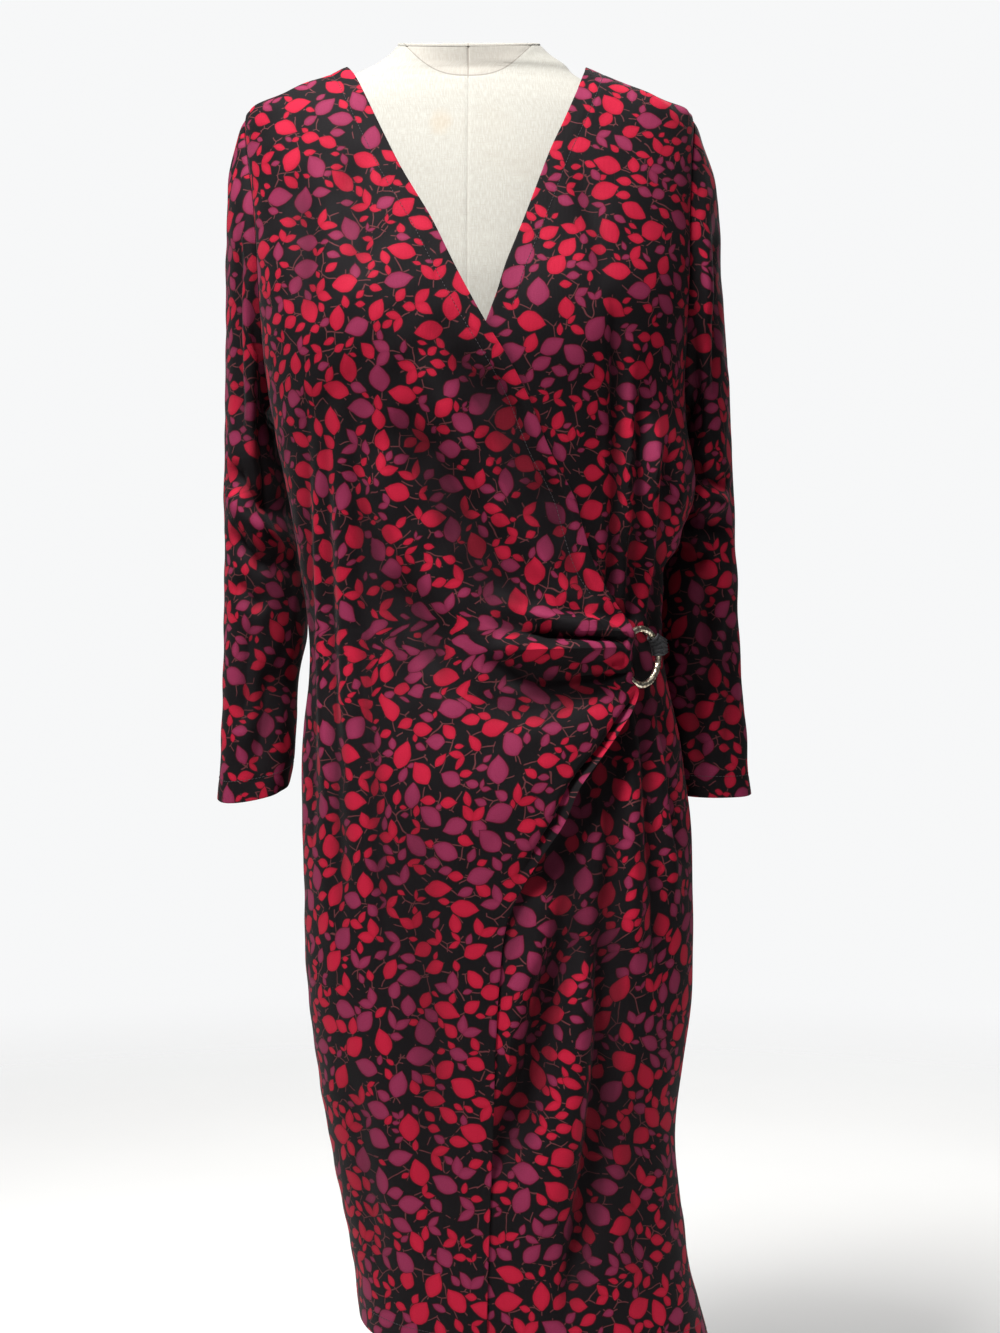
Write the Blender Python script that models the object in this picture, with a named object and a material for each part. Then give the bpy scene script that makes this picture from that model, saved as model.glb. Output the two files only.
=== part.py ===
# Wrap dress of printed jersey on a limbless dress form, at its real size in metres.
# +Z is up, the front faces -Y, and the origin lies on the floor below the middle of the neck.
import math

import bpy
import numpy as np

# Cloth
WALL = 0.0016
SEAM_GAP = 0.0003
LAP_DROP = 0.0026
LAP_HOLLOW = 0.0080
EDGE_BAND = 0.012

# Garment heights above the floor
TIP_RIGHT = 1.3905
TIP_LEFT = 1.3895
NECK_RIGHT = 1.4355
NECK_LEFT = 1.4350
UNDERARM = 1.130
HEM_RIGHT = 0.300
HEM_LEFT = 0.277
BACK_NECK_DIP = 0.016

# Armholes
ARMHOLE_FRONT = 0.056
ARMHOLE_BACK = 0.060

# Ring at the left hip
RING_RADIUS = 0.0245
BAR_RADIUS = 0.0030
RING_X = 0.1435
RING_Z = 0.8973
RING_LIFT = 0.0112
RING_TURN = math.radians(48.0)
LOOP_RADIUS = BAR_RADIUS + WALL / 2.0 + 0.0010

# Tab that holds the ring
TAB_THICK = 0.0014
TAB_TURN = math.radians(26.0)
TAB_REACH = math.radians(23.0)
TAB_END = 0.012

# Display form
FORM_TOP = 1.4600
FORM_BOTTOM = 0.660
CAP_TOP = 1.4625
POLE_RADIUS = 0.014
BASE_RADIUS = 0.170
BASE_HEIGHT = 0.014

# Outline of the hanging dress: (height, half-line) on each side, and depth front and back
RIGHT_SIDE = (
    (0.260, -0.0983), (0.306, -0.1005), (0.334, -0.1046), (0.366, -0.1080),
    (0.398, -0.1144), (0.444, -0.1240), (0.509, -0.1358), (0.550, -0.1412),
    (0.596, -0.1466), (0.628, -0.1490), (0.665, -0.1496), (0.711, -0.1509),
    (0.757, -0.1524), (0.800, -0.1526), (0.840, -0.1506), (0.877, -0.1470),
    (0.900, -0.1463), (0.932, -0.1481), (0.980, -0.1545), (1.040, -0.1635),
    (1.107, -0.1763), (1.170, -0.1860), (1.250, -0.1940), (1.300, -0.1985),
    (1.350, -0.2035), (1.378, -0.2045), (1.3905, -0.2025), (1.4030, -0.1775),
    (1.4140, -0.1540), (1.4245, -0.1325), (1.4355, -0.1105), (1.4500, -0.0820),
)
LEFT_SIDE = (
    (0.260, 0.2240), (0.276, 0.2189), (0.306, 0.2106), (0.343, 0.2010),
    (0.380, 0.1972), (0.417, 0.1905), (0.444, 0.1877), (0.490, 0.1895),
    (0.527, 0.1951), (0.564, 0.2012), (0.619, 0.2040), (0.674, 0.2045),
    (0.740, 0.2035), (0.775, 0.1990), (0.820, 0.1928), (0.846, 0.1877),
    (0.873, 0.1821), (0.913, 0.1766), (0.964, 0.1752), (1.040, 0.1820),
    (1.100, 0.1905), (1.170, 0.1975), (1.250, 0.2035), (1.300, 0.2055),
    (1.350, 0.2065), (1.376, 0.2060), (1.3895, 0.2035), (1.4000, 0.1800),
    (1.4175, 0.1418), (1.4350, 0.1060), (1.4420, 0.0880), (1.4500, 0.0660),
)
FRONT_DEPTH = (
    (0.260, 0.1130), (0.300, 0.1140), (0.400, 0.1150), (0.500, 0.1200),
    (0.650, 0.1260), (0.750, 0.1260), (0.850, 0.1180), (0.930, 0.1120),
    (1.000, 0.1180), (1.100, 0.1350), (1.170, 0.1450), (1.200, 0.1430),
    (1.250, 0.1330), (1.300, 0.1210), (1.350, 0.1060), (1.400, 0.0850),
    (1.420, 0.0690), (1.440, 0.0420), (1.450, 0.0300),
)
BACK_DEPTH = (
    (0.260, 0.1080), (0.300, 0.1090), (0.400, 0.1120), (0.500, 0.1160),
    (0.650, 0.1210), (0.750, 0.1220), (0.850, 0.1160), (0.950, 0.1060),
    (1.050, 0.1120), (1.150, 0.1240), (1.250, 0.1270), (1.350, 0.1130),
    (1.400, 0.0960), (1.420, 0.0830), (1.440, 0.0640), (1.450, 0.0540),
)
# Squareness of the section: 2 is an ellipse, larger is boxier
SQUARENESS = (
    (0.260, 2.25), (0.900, 2.25), (1.000, 2.35), (1.100, 2.50), (1.170, 2.65),
    (1.250, 2.85), (1.350, 2.85), (1.400, 2.60), (1.440, 2.40), (1.450, 2.30),
)

# Lap edge of the over front, shoulder to ring: edge height, edge x, side height, lift
OVER_EDGE = (
    (1.4355, -0.1105, 1.3905, 0.0), (1.4315, -0.1096, 1.385, 0.0),
    (1.4240, -0.1062, 1.378, 0.0), (1.4130, -0.1003, 1.365, 0.0),
    (1.3900, -0.0900, 1.338, 0.0), (1.3673, -0.0799, 1.304, 0.0),
    (1.3440, -0.0692, 1.270, 0.0), (1.3193, -0.0573, 1.234, 0.0),
    (1.2960, -0.0443, 1.199, 0.0), (1.2731, -0.0311, 1.164, 0.0),
    (1.2193, -0.0052, 1.130, 0.0), (1.1821, 0.0150, 1.104, 0.0),
    (1.1470, 0.0369, 1.079, 0.0), (1.1145, 0.0539, 1.054, 0.0),
    (1.0734, 0.0711, 1.029, 0.0005), (1.0320, 0.0929, 1.005, 0.0014),
    (1.0067, 0.1000, 0.985, 0.0028), (0.9812, 0.1070, 0.966, 0.0048),
    (0.9600, 0.1160, 0.948, 0.0075), (0.9420, 0.1250, 0.932, 0.0105),
    (0.9285, 0.1325, 0.922, 0.0135),
)
# Rows round the ring's bar: place on the ring in degrees, how far the cloth goes round
# the bar (1 is right behind it, 0 stops in front), side height
RING_STATIONS = (
    (126.0, 0.00, 0.918), (139.0, 0.42, 0.910), (151.0, 0.74, 0.902), (163.0, 1.00, 0.894),
    (176.0, 1.00, 0.886), (189.0, 1.00, 0.878), (201.0, 0.74, 0.870), (213.0, 0.42, 0.862),
    (226.0, 0.00, 0.854),
)
# Hanging lip below the ring: edge height, edge x, side height, lift off the body line,
# radius the edge rolls to, and how far it rolls under (0 flat, 1 rolled)
LIP_STATIONS = (
    (0.8660, 0.1290, 0.842, 0.0165, 0.0050, 0.25),
    (0.8490, 0.1235, 0.827, 0.0175, 0.0066, 0.70),
    (0.8300, 0.1120, 0.810, 0.0175, 0.0072, 1.00),
    (0.8080, 0.0965, 0.789, 0.0165, 0.0068, 1.00),
    (0.7820, 0.0780, 0.764, 0.0145, 0.0058, 1.00),
    (0.7560, 0.0670, 0.739, 0.0112, 0.0046, 0.90),
    (0.7280, 0.0480, 0.712, 0.0075, 0.0036, 0.65),
    (0.7000, 0.0275, 0.684, 0.0040, 0.0030, 0.30),
    (0.6680, 0.0125, 0.653, 0.0012, 0.0026, 0.0),
    (0.6200, 0.0075, 0.606, 0.0, 0.0026, 0.0),
    (0.5600, 0.0055, 0.550, 0.0, 0.0026, 0.0),
    (0.4950, 0.0042, 0.490, 0.0, 0.0026, 0.0),
    (0.4250, 0.0030, 0.425, 0.0, 0.0026, 0.0),
    (0.3550, 0.0018, 0.360, 0.0, 0.0026, 0.0),
    (0.2905, 0.0010, 0.300, 0.0, 0.0026, 0.0),
)
# The lap edge as one line of (height, x), from the V down to the hem
LAP_LINE = (
    (1.2731, -0.0311), (1.2193, -0.0052), (1.1821, 0.0150), (1.1470, 0.0369), (1.1145, 0.0539),
    (1.0734, 0.0711), (1.0320, 0.0929), (0.9812, 0.1070), (0.9380, 0.1270), (0.9100, 0.1400),
    (0.8700, 0.1400), (0.8563, 0.1366), (0.8357, 0.1238), (0.8188, 0.1095), (0.7968, 0.0971),
    (0.7816, 0.0850), (0.7580, 0.0740), (0.7292, 0.0555), (0.7037, 0.0395), (0.6858, 0.0295),
    (0.6560, 0.0230), (0.6048, 0.0193), (0.5185, 0.0165), (0.4316, 0.0148), (0.2600, 0.0130),
)
# Edge of the under front: (edge height, edge x, side height)
UNDER_EDGE = (
    (1.4350, 0.1060, 1.3895), (1.4305, 0.1058, 1.384), (1.4230, 0.1048, 1.377),
    (1.4100, 0.1012, 1.364), (1.3878, 0.0940, 1.337),
    (1.3605, 0.0830, 1.304), (1.3335, 0.0715, 1.270), (1.3030, 0.0605, 1.235),
    (1.2731, 0.0498, 1.200), (1.2505, 0.0412, 1.165), (1.2280, 0.0327, 1.132),
    (1.2020, 0.0245, 1.102), (1.1740, 0.0140, 1.076), (1.1400, 0.0020, 1.050),
    (1.1000, -0.0090, 1.026), (1.0550, -0.0160, 1.002), (1.0150, -0.0200, 0.978),
    (0.9780, -0.0210, 0.954), (0.9400, -0.0200, 0.930), (0.9080, -0.0180, 0.906),
    (0.8780, -0.0160, 0.880), (0.8480, -0.0150, 0.852), (0.8180, -0.0160, 0.822),
    (0.7880, -0.0190, 0.790), (0.7560, -0.0230, 0.756), (0.7200, -0.0280, 0.720),
    (0.6800, -0.0340, 0.680), (0.6350, -0.0390, 0.635), (0.5850, -0.0420, 0.585),
    (0.5300, -0.0430, 0.528), (0.4700, -0.0430, 0.465), (0.4100, -0.0430, 0.400),
    (0.3500, -0.0430, 0.336), (0.2930, -0.0430, 0.277),
)
# Sleeves: outer line x and height, inner line x and height, middle y, half depth, and how
# far the front hangs lower than the back
SLEEVE_RIGHT = (
    (-0.2025, 1.3905, -0.1850, 1.1300, 0.002, 0.058, 0.0),
    (-0.2092, 1.3680, -0.1890, 1.1240, 0.006, 0.062, 0.0),
    (-0.2196, 1.3350, -0.1885, 1.1170, 0.012, 0.064, 0.0),
    (-0.2226, 1.2900, -0.1870, 1.1080, 0.018, 0.065, 0.0),
    (-0.2246, 1.2400, -0.1850, 1.0960, 0.024, 0.066, 0.0),
    (-0.2258, 1.1850, -0.1815, 1.0800, 0.030, 0.066, 0.0),
    (-0.2279, 1.1280, -0.1765, 1.0580, 0.035, 0.065, 0.0),
    (-0.2298, 1.0720, -0.1700, 1.0280, 0.038, 0.063, 0.0),
    (-0.2306, 1.0200, -0.1630, 0.9920, 0.040, 0.061, 0.001),
    (-0.2306, 0.9720, -0.1570, 0.9540, 0.040, 0.058, 0.002),
    (-0.2302, 0.9260, -0.1560, 0.9160, 0.039, 0.056, 0.003),
    (-0.2299, 0.8820, -0.1630, 0.8780, 0.037, 0.053, 0.005),
    (-0.2304, 0.8420, -0.1640, 0.8420, 0.035, 0.051, 0.007),
    (-0.2310, 0.8050, -0.1650, 0.8110, 0.034, 0.049, 0.009),
    (-0.2321, 0.7700, -0.1690, 0.7820, 0.033, 0.047, 0.011),
)
SLEEVE_LEFT = (
    (0.2035, 1.3895, 0.1945, 1.1300, 0.004, 0.058, 0.0),
    (0.2110, 1.3650, 0.2000, 1.1240, 0.009, 0.062, 0.0),
    (0.2250, 1.3360, 0.2000, 1.1160, 0.015, 0.064, 0.0),
    (0.2318, 1.2950, 0.1990, 1.1060, 0.022, 0.065, 0.0),
    (0.2360, 1.2400, 0.1970, 1.0930, 0.029, 0.066, 0.0),
    (0.2402, 1.1850, 0.1940, 1.0760, 0.036, 0.066, 0.0),
    (0.2442, 1.1280, 0.1900, 1.0530, 0.043, 0.065, 0.0),
    (0.2480, 1.0720, 0.1860, 1.0230, 0.049, 0.063, 0.0),
    (0.2512, 1.0200, 0.1805, 0.9870, 0.054, 0.060, 0.0),
    (0.2540, 0.9720, 0.1765, 0.9500, 0.057, 0.058, 0.0),
    (0.2562, 0.9260, 0.1760, 0.9120, 0.059, 0.055, 0.0),
    (0.2582, 0.8820, 0.1785, 0.8740, 0.060, 0.053, 0.0),
    (0.2600, 0.8420, 0.1845, 0.8400, 0.059, 0.050, 0.001),
    (0.2615, 0.8050, 0.1905, 0.8070, 0.058, 0.048, 0.002),
    (0.2628, 0.7695, 0.1960, 0.7700, 0.057, 0.046, 0.003),
)
# Form: height, half width, front depth, back depth, middle x, lean of the ring forward
FORM_RINGS = (
    (0.6600, 0.1420, 0.0930, 0.0900, 0.0200, 0.0), (0.6640, 0.1510, 0.0985, 0.0950, 0.0200, 0.0),
    (0.6900, 0.1590, 0.1030, 0.1010, 0.0200, 0.0), (0.7400, 0.1615, 0.1060, 0.1050, 0.0195, 0.0),
    (0.7900, 0.1575, 0.1060, 0.1070, 0.0180, 0.0), (0.8400, 0.1500, 0.1010, 0.1040, 0.0165, 0.0),
    (0.8900, 0.1400, 0.0940, 0.0980, 0.0140, 0.0), (0.9400, 0.1345, 0.0900, 0.0920, 0.0105, 0.0),
    (0.9900, 0.1365, 0.0940, 0.0910, 0.0075, 0.0), (1.0500, 0.1460, 0.1060, 0.0970, 0.0055, 0.0),
    (1.1100, 0.1580, 0.1190, 0.1060, 0.0040, 0.0), (1.1700, 0.1705, 0.1290, 0.1120, 0.0030, 0.0),
    (1.2200, 0.1785, 0.1255, 0.1140, 0.0020, 0.0), (1.2700, 0.1855, 0.1140, 0.1110, 0.0015, 0.0),
    (1.3100, 0.1900, 0.1020, 0.1050, 0.0010, 0.0), (1.3430, 0.1920, 0.0900, 0.0960, 0.0005, 0.0),
    (1.3640, 0.1915, 0.0810, 0.0880, 0.0000, 0.0), (1.3770, 0.1895, 0.0750, 0.0820, 0.0000, 0.0),
    (1.3855, 0.1850, 0.0710, 0.0780, -0.0020, 0.0), (1.3920, 0.1770, 0.0680, 0.0750, -0.0030, 0.0),
    (1.4010, 0.1590, 0.0630, 0.0710, -0.0040, 0.0), (1.4110, 0.1375, 0.0570, 0.0650, -0.0050, 0.0),
    (1.4215, 0.1180, 0.0510, 0.0590, -0.0055, 0.04), (1.4320, 0.1005, 0.0480, 0.0560, -0.0040, 0.12),
    (1.4435, 0.0850, 0.0475, 0.0550, 0.0010, 0.24), (1.4515, 0.0740, 0.0475, 0.0550, 0.0005, 0.30),
    (1.4600, 0.0655, 0.0475, 0.0550, 0.0000, 0.34),
)

# Soft folds pressed into the fronts: height (+ ridge, - hollow), half width, then the
# line it follows as (x, z) points
FRONT_FOLDS = (
    (-0.0060, 0.015, ((-0.022, 1.172), (0.003, 1.131), (0.028, 1.098), (0.071, 1.023), (0.107, 0.955))),
    (0.0030, 0.014, ((-0.045, 1.160), (-0.010, 1.090), (0.030, 1.020), (0.075, 0.960))),
    (-0.0055, 0.015, ((-0.057, 1.090), (-0.023, 1.031), (0.011, 0.963))),
    (-0.0045, 0.014, ((-0.058, 0.955), (-0.036, 0.912), (-0.023, 0.877))),
    (0.0050, 0.010, ((0.045, 0.938), (0.070, 0.930), (0.095, 0.926), (0.125, 0.922))),
    (-0.0060, 0.009, ((0.030, 0.920), (0.080, 0.915), (0.128, 0.916))),
    (0.0060, 0.010, ((0.025, 0.902), (0.061, 0.902), (0.086, 0.902), (0.128, 0.908))),
    (-0.0065, 0.011, ((0.025, 0.890), (0.052, 0.874), (0.090, 0.870), (0.128, 0.884))),
)
UNDER_FOLDS = (
    (-0.0060, 0.009, ((0.128, 1.180), (0.129, 1.080), (0.129, 1.000), (0.128, 0.940))),
    (0.0050, 0.010, ((0.146, 1.120), (0.147, 1.040), (0.145, 0.965))),
    (-0.0050, 0.009, ((0.158, 1.070), (0.157, 1.000), (0.156, 0.930))),
    (0.0050, 0.010, ((0.169, 1.047), (0.178, 0.987), (0.173, 0.915))),
    (-0.0060, 0.012, ((0.124, 0.820), (0.123, 0.720), (0.118, 0.640), (0.117, 0.560))),
    (0.0045, 0.012, ((0.140, 0.820), (0.142, 0.730), (0.144, 0.640))),
    (-0.0055, 0.011, ((0.156, 0.840), (0.161, 0.740), (0.166, 0.680), (0.168, 0.590))),
    (-0.0080, 0.019, ((0.083, 0.690), (0.080, 0.647), (0.060, 0.580), (0.040, 0.510), (0.022, 0.430))),
    (-0.0065, 0.017, ((0.116, 0.600), (0.113, 0.523), (0.106, 0.464), (0.096, 0.404), (0.087, 0.350))),
)


def smooth_curve(rows, column, where):
    """Monotone cubic through the table's points, so nothing overshoots."""
    keys = np.array([row[0] for row in rows], dtype=float)
    values = np.array([row[column] for row in rows], dtype=float)
    if keys[0] > keys[-1]:
        keys = keys[::-1]
        values = values[::-1]
    steps = np.diff(keys)
    slopes = np.diff(values) / steps
    tangents = np.zeros(len(keys))
    for i in range(1, len(keys) - 1):
        before = slopes[i - 1]
        after = slopes[i]
        if before * after > 0.0:
            w1 = 2.0 * steps[i] + steps[i - 1]
            w2 = steps[i] + 2.0 * steps[i - 1]
            tangents[i] = (w1 + w2) / (w1 / before + w2 / after)
    tangents[0] = slopes[0]
    tangents[-1] = slopes[-1]
    at = np.clip(np.asarray(where, dtype=float), keys[0], keys[-1])
    i = np.clip(np.searchsorted(keys, at, side="right") - 1, 0, len(keys) - 2)
    t = (at - keys[i]) / steps[i]
    a = (1.0 + 2.0 * t) * (1.0 - t) ** 2
    b = t * (1.0 - t) ** 2
    c = t * t * (3.0 - 2.0 * t)
    d = t * t * (t - 1.0)
    return a * values[i] + b * steps[i] * tangents[i] + c * values[i + 1] + d * steps[i] * tangents[i + 1]


def smoothstep(low, high, value):
    t = np.clip((value - low) / (high - low), 0.0, 1.0)
    return t * t * (3.0 - 2.0 * t)


def section(height):
    left = smooth_curve(RIGHT_SIDE, 1, height)
    right = smooth_curve(LEFT_SIDE, 1, height)
    front = smooth_curve(FRONT_DEPTH, 1, height)
    back = smooth_curve(BACK_DEPTH, 1, height)
    power = smooth_curve(SQUARENESS, 1, height)
    return (left + right) / 2.0, (right - left) / 2.0, front, back, power


def plain_point(angle, height):
    """Point of the hanging dress; angle 0 is the front, +90 degrees the wearer's left."""
    middle, half, front, back, power = section(height)
    s = np.sin(angle)
    c = np.cos(angle)
    x = middle + half * np.sign(s) * np.abs(s) ** (2.0 / power)
    depth = np.where(c > 0.0, front, back)
    y = -depth * np.sign(c) * np.abs(c) ** (2.0 / power)
    return np.stack([x, y, np.broadcast_to(height, x.shape)], axis=-1)


def unit(vectors):
    return vectors / np.maximum(np.linalg.norm(vectors, axis=-1, keepdims=True), 1e-12)


def outward(angle, height):
    step = 0.004
    along = plain_point(angle + step, height) - plain_point(angle - step, height)
    up = plain_point(angle, height + 0.002) - plain_point(angle, height - 0.002)
    return unit(np.cross(along, up))


def angle_at_x(x, height):
    middle, half, front, back, power = section(height)
    ratio = np.clip((x - middle) / half, -1.0, 1.0)
    return np.arcsin(np.sign(ratio) * np.abs(ratio) ** (power / 2.0))


def angle_at_y(y, height, front_side):
    """Angle from the front (or from the back) at which the section reaches depth y."""
    middle, half, front, back, power = section(height)
    depth = front if front_side else back
    ratio = np.clip(np.abs(y) / depth, 0.0, 1.0)
    return np.arccos(ratio ** (power / 2.0))


def armhole_angle(height, tip, front_side):
    """Angle of the side edge: round the armhole above the underarm, 90 degrees below it."""
    part = np.clip((tip - height) / (tip - UNDERARM), 0.0, 1.0)
    reach = ARMHOLE_FRONT if front_side else ARMHOLE_BACK
    y = np.maximum(reach * 2.0 * np.sqrt(part * (1.0 - part)), SEAM_GAP / 2.0 + 0.0001)
    return angle_at_y(y, height, front_side)


def distance_to_line(x, z, line):
    """Distance in the front view to a line of points, and how far along it that is."""
    best = np.full(x.shape, 1e9)
    along = np.zeros(x.shape)
    lengths = [math.dist(line[i], line[i + 1]) for i in range(len(line) - 1)]
    total = sum(lengths)
    walked = 0.0
    for i, length in enumerate(lengths):
        ax, az = line[i]
        dx = (line[i + 1][0] - ax) / length
        dz = (line[i + 1][1] - az) / length
        t = np.clip((x - ax) * dx + (z - az) * dz, 0.0, length)
        gap = np.hypot(x - ax - t * dx, z - az - t * dz)
        nearer = gap < best
        best = np.where(nearer, gap, best)
        along = np.where(nearer, (walked + t) / total, along)
        walked += length
    return best, along


def fold_relief(points, folds):
    x = points[..., 0]
    z = points[..., 2]
    relief = np.zeros(x.shape)
    for height, width, line in folds:
        gap, along = distance_to_line(x, z, line)
        fade = smoothstep(0.0, 0.25, along) * (1.0 - smoothstep(0.75, 1.0, along))
        relief += height * np.exp(-(gap / width) ** 2) * (0.25 + 0.75 * fade)
    return relief


def bust(points):
    x = points[..., 0]
    z = points[..., 2]
    left = np.exp(-((x - 0.088) / 0.055) ** 2 - ((z - 1.195) / 0.060) ** 2)
    right = np.exp(-((x + 0.088) / 0.055) ** 2 - ((z - 1.195) / 0.060) ** 2)
    return 0.007 * (left + right)


def blouse(points):
    """The left side blouses out above the waist."""
    x = points[..., 0]
    z = points[..., 2]
    side = smoothstep(0.110, 0.165, x)
    rise = np.where(z > 1.045, 0.055, 0.040)
    return 0.024 * side * np.exp(-((z - 1.045) / rise) ** 2)


def grid_normals(grid, closed=False):
    if closed:
        around = np.roll(grid, -1, axis=1) - np.roll(grid, 1, axis=1)
    else:
        around = np.gradient(grid, axis=1)
    down = np.gradient(grid, axis=0)
    return unit(np.cross(down, around))


def shell_faces(rows, columns, closed):
    """Quads of a sheet with thickness: outer side, inner side and the rim."""
    faces = []
    size = rows * columns
    wrap = columns if closed else columns - 1
    for i in range(rows - 1):
        for j in range(wrap):
            k = (j + 1) % columns
            a = i * columns + j
            b = i * columns + k
            c = (i + 1) * columns + k
            d = (i + 1) * columns + j
            faces.append((a, d, c, b))
            faces.append((a + size, b + size, c + size, d + size))
    for j in range(wrap):
        k = (j + 1) % columns
        top_a = j
        top_b = k
        low_a = (rows - 1) * columns + j
        low_b = (rows - 1) * columns + k
        faces.append((top_a, top_b, top_b + size, top_a + size))
        faces.append((low_b, low_a, low_a + size, low_b + size))
    if not closed:
        for i in range(rows - 1):
            a = i * columns
            b = (i + 1) * columns
            c = i * columns + columns - 1
            d = (i + 1) * columns + columns - 1
            faces.append((b, a, a + size, b + size))
            faces.append((c, d, d + size, c + size))
    return faces


def make_material(name, colour, roughness, metallic=0.0):
    material = bpy.data.materials.new(name)
    material.use_nodes = True
    shader = material.node_tree.nodes["Principled BSDF"]
    shader.inputs["Base Color"].default_value = (colour[0], colour[1], colour[2], 1.0)
    shader.inputs["Roughness"].default_value = roughness
    shader.inputs["Metallic"].default_value = metallic
    material.diffuse_color = (colour[0], colour[1], colour[2], 1.0)
    return material


def add_object(name, vertices, faces, material, smooth=True, crease=40.0):
    mesh = bpy.data.meshes.new(name)
    mesh.from_pydata([tuple(map(float, v)) for v in vertices], [], faces)
    mesh.update()
    if smooth:
        mesh.shade_smooth()
        mesh.set_sharp_from_angle(angle=math.radians(crease))
    mesh.materials.append(material)
    item = bpy.data.objects.new(name, mesh)
    bpy.context.scene.collection.objects.link(item)
    return item


def cloth_object(name, sheet, material, closed=False):
    """Solid cloth of one wall; its seam edges keep the normals of the line they follow."""
    grid, seam_normals = sheet
    normals = grid_normals(grid, closed)
    if seam_normals is not None:
        known = np.linalg.norm(seam_normals, axis=-1) > 0.5
        normals[known] = seam_normals[known]
    outer = grid + normals * WALL / 2.0
    inner = grid - normals * WALL / 2.0
    rows, columns = grid.shape[:2]
    vertices = np.concatenate([outer.reshape(-1, 3), inner.reshape(-1, 3)])
    return add_object(name, vertices, shell_faces(rows, columns, closed), material, crease=60.0)


# The ring's frame: middle, direction across it and direction it faces
ring_angle = angle_at_x(np.array([RING_X]), np.array([RING_Z]))
ring_foot = plain_point(ring_angle, np.array([RING_Z]))[0]
ring_face = np.array([math.sin(RING_TURN), -math.cos(RING_TURN), 0.0])
ring_across = np.array([math.cos(RING_TURN), math.sin(RING_TURN), 0.0])
ring_up = np.array([0.0, 0.0, 1.0])
ring_middle = ring_foot + ring_face * RING_LIFT


def ring_direction(turn):
    return math.cos(turn) * ring_across + math.sin(turn) * ring_up


def round_bar(turn, roll, radius):
    """Point round the ring's bar; roll 0 faces out, 90 degrees faces the ring's middle."""
    direction = ring_direction(turn)
    centre = ring_middle + RING_RADIUS * direction
    return centre + radius * (math.cos(roll) * ring_face - math.sin(roll) * direction)


def over_front_grid(columns, roll_steps):
    """Rows from the side edge to the lap edge; the last columns roll round or under."""
    spread = np.linspace(0.0, 1.0, columns) ** 0.85
    grid = []
    seams = []
    plain = len(OVER_EDGE)
    for station in range(len(OVER_EDGE) + len(RING_STATIONS) + len(LIP_STATIONS)):
        if station < plain:
            row = OVER_EDGE[station]
            flat = True
            edge_z, edge_x, side_z, lift = row
        elif station < plain + len(RING_STATIONS):
            row = RING_STATIONS[station - plain]
            turn = math.radians(row[0])
            flat = row[1] == 0.0
            end = round_bar(turn, math.radians(-30.0 if flat else -60.0), LOOP_RADIUS)
            edge_z, edge_x, side_z = end[2], end[0], row[2]
        else:
            row = LIP_STATIONS[station - plain - len(RING_STATIONS)]
            flat = False
            edge_z, edge_x, side_z, lift, roll_radius, rolled = row
        side_angle = -armhole_angle(np.array([side_z]), TIP_RIGHT, True)[0]
        edge_angle = angle_at_x(np.array([edge_x]), np.array([edge_z]))[0]
        if station == 0:
            edge_angle = side_angle
        ends = plain_point(np.array([side_angle, edge_angle]), np.array([side_z, edge_z]))
        length = float(np.linalg.norm(ends[1] - ends[0]))
        band = EDGE_BAND / length
        strip = band * np.arange(1, roll_steps + 1) / roll_steps
        if flat:
            u = np.concatenate([spread * (1.0 - band), 1.0 - band + strip])
        else:
            u = np.concatenate([spread, 1.0 + strip])
        angles = side_angle + (edge_angle - side_angle) * u
        heights = side_z + (edge_z - side_z) * u
        points = plain_point(angles, heights)
        normals = outward(angles, heights)
        inside = smooth_curve(LAP_LINE, 1, points[:, 2]) - points[:, 0]
        relief = fold_relief(points, FRONT_FOLDS) * smoothstep(0.004, 0.026, inside) + bust(points)
        ease = smoothstep(0.0, 0.12, u)
        points = points + normals * (relief * ease)[:, None]
        seam = np.zeros_like(normals)
        seam[0] = normals[0]
        if station == 0:
            seam[:] = normals
        seams.append(seam)
        if station < plain:
            rise = smoothstep(0.40, 1.0, u) ** 1.3
            points = points + normals * (lift * rise)[:, None]
        elif station < plain + len(RING_STATIONS):
            last = len(u) if flat else columns
            foot = points[last - 1].copy()
            rise = smoothstep(0.42, 1.0, u[:last]) ** 1.3
            points[:last] += rise[:, None] * (end - foot)
            reach = 225.0 * row[1]
            for step in range(0 if flat else roll_steps):
                roll = math.radians(-60.0 + reach * (step + 1) / roll_steps)
                points[columns + step] = round_bar(turn, roll, LOOP_RADIUS)
        else:
            rise = smoothstep(0.40, 1.0, u) ** 1.3
            points = points + normals * (lift * rise)[:, None]
            if rolled > 0.0:
                centre = points[columns - 1] - normals[columns - 1] * roll_radius
                forward = unit(points[columns - 1] - points[columns - 2])
                facing = unit(normals[columns - 1] - forward * np.dot(forward, normals[columns - 1]))
                for step in range(roll_steps):
                    roll = math.radians(185.0 * rolled) * (step + 1) / roll_steps
                    turned = centre + roll_radius * (math.cos(roll) * facing + math.sin(roll) * forward)
                    flat = points[columns + step]
                    points[columns + step] = flat + (turned - flat) * rolled
        grid.append(points)
    return np.array(grid), np.array(seams)


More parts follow.
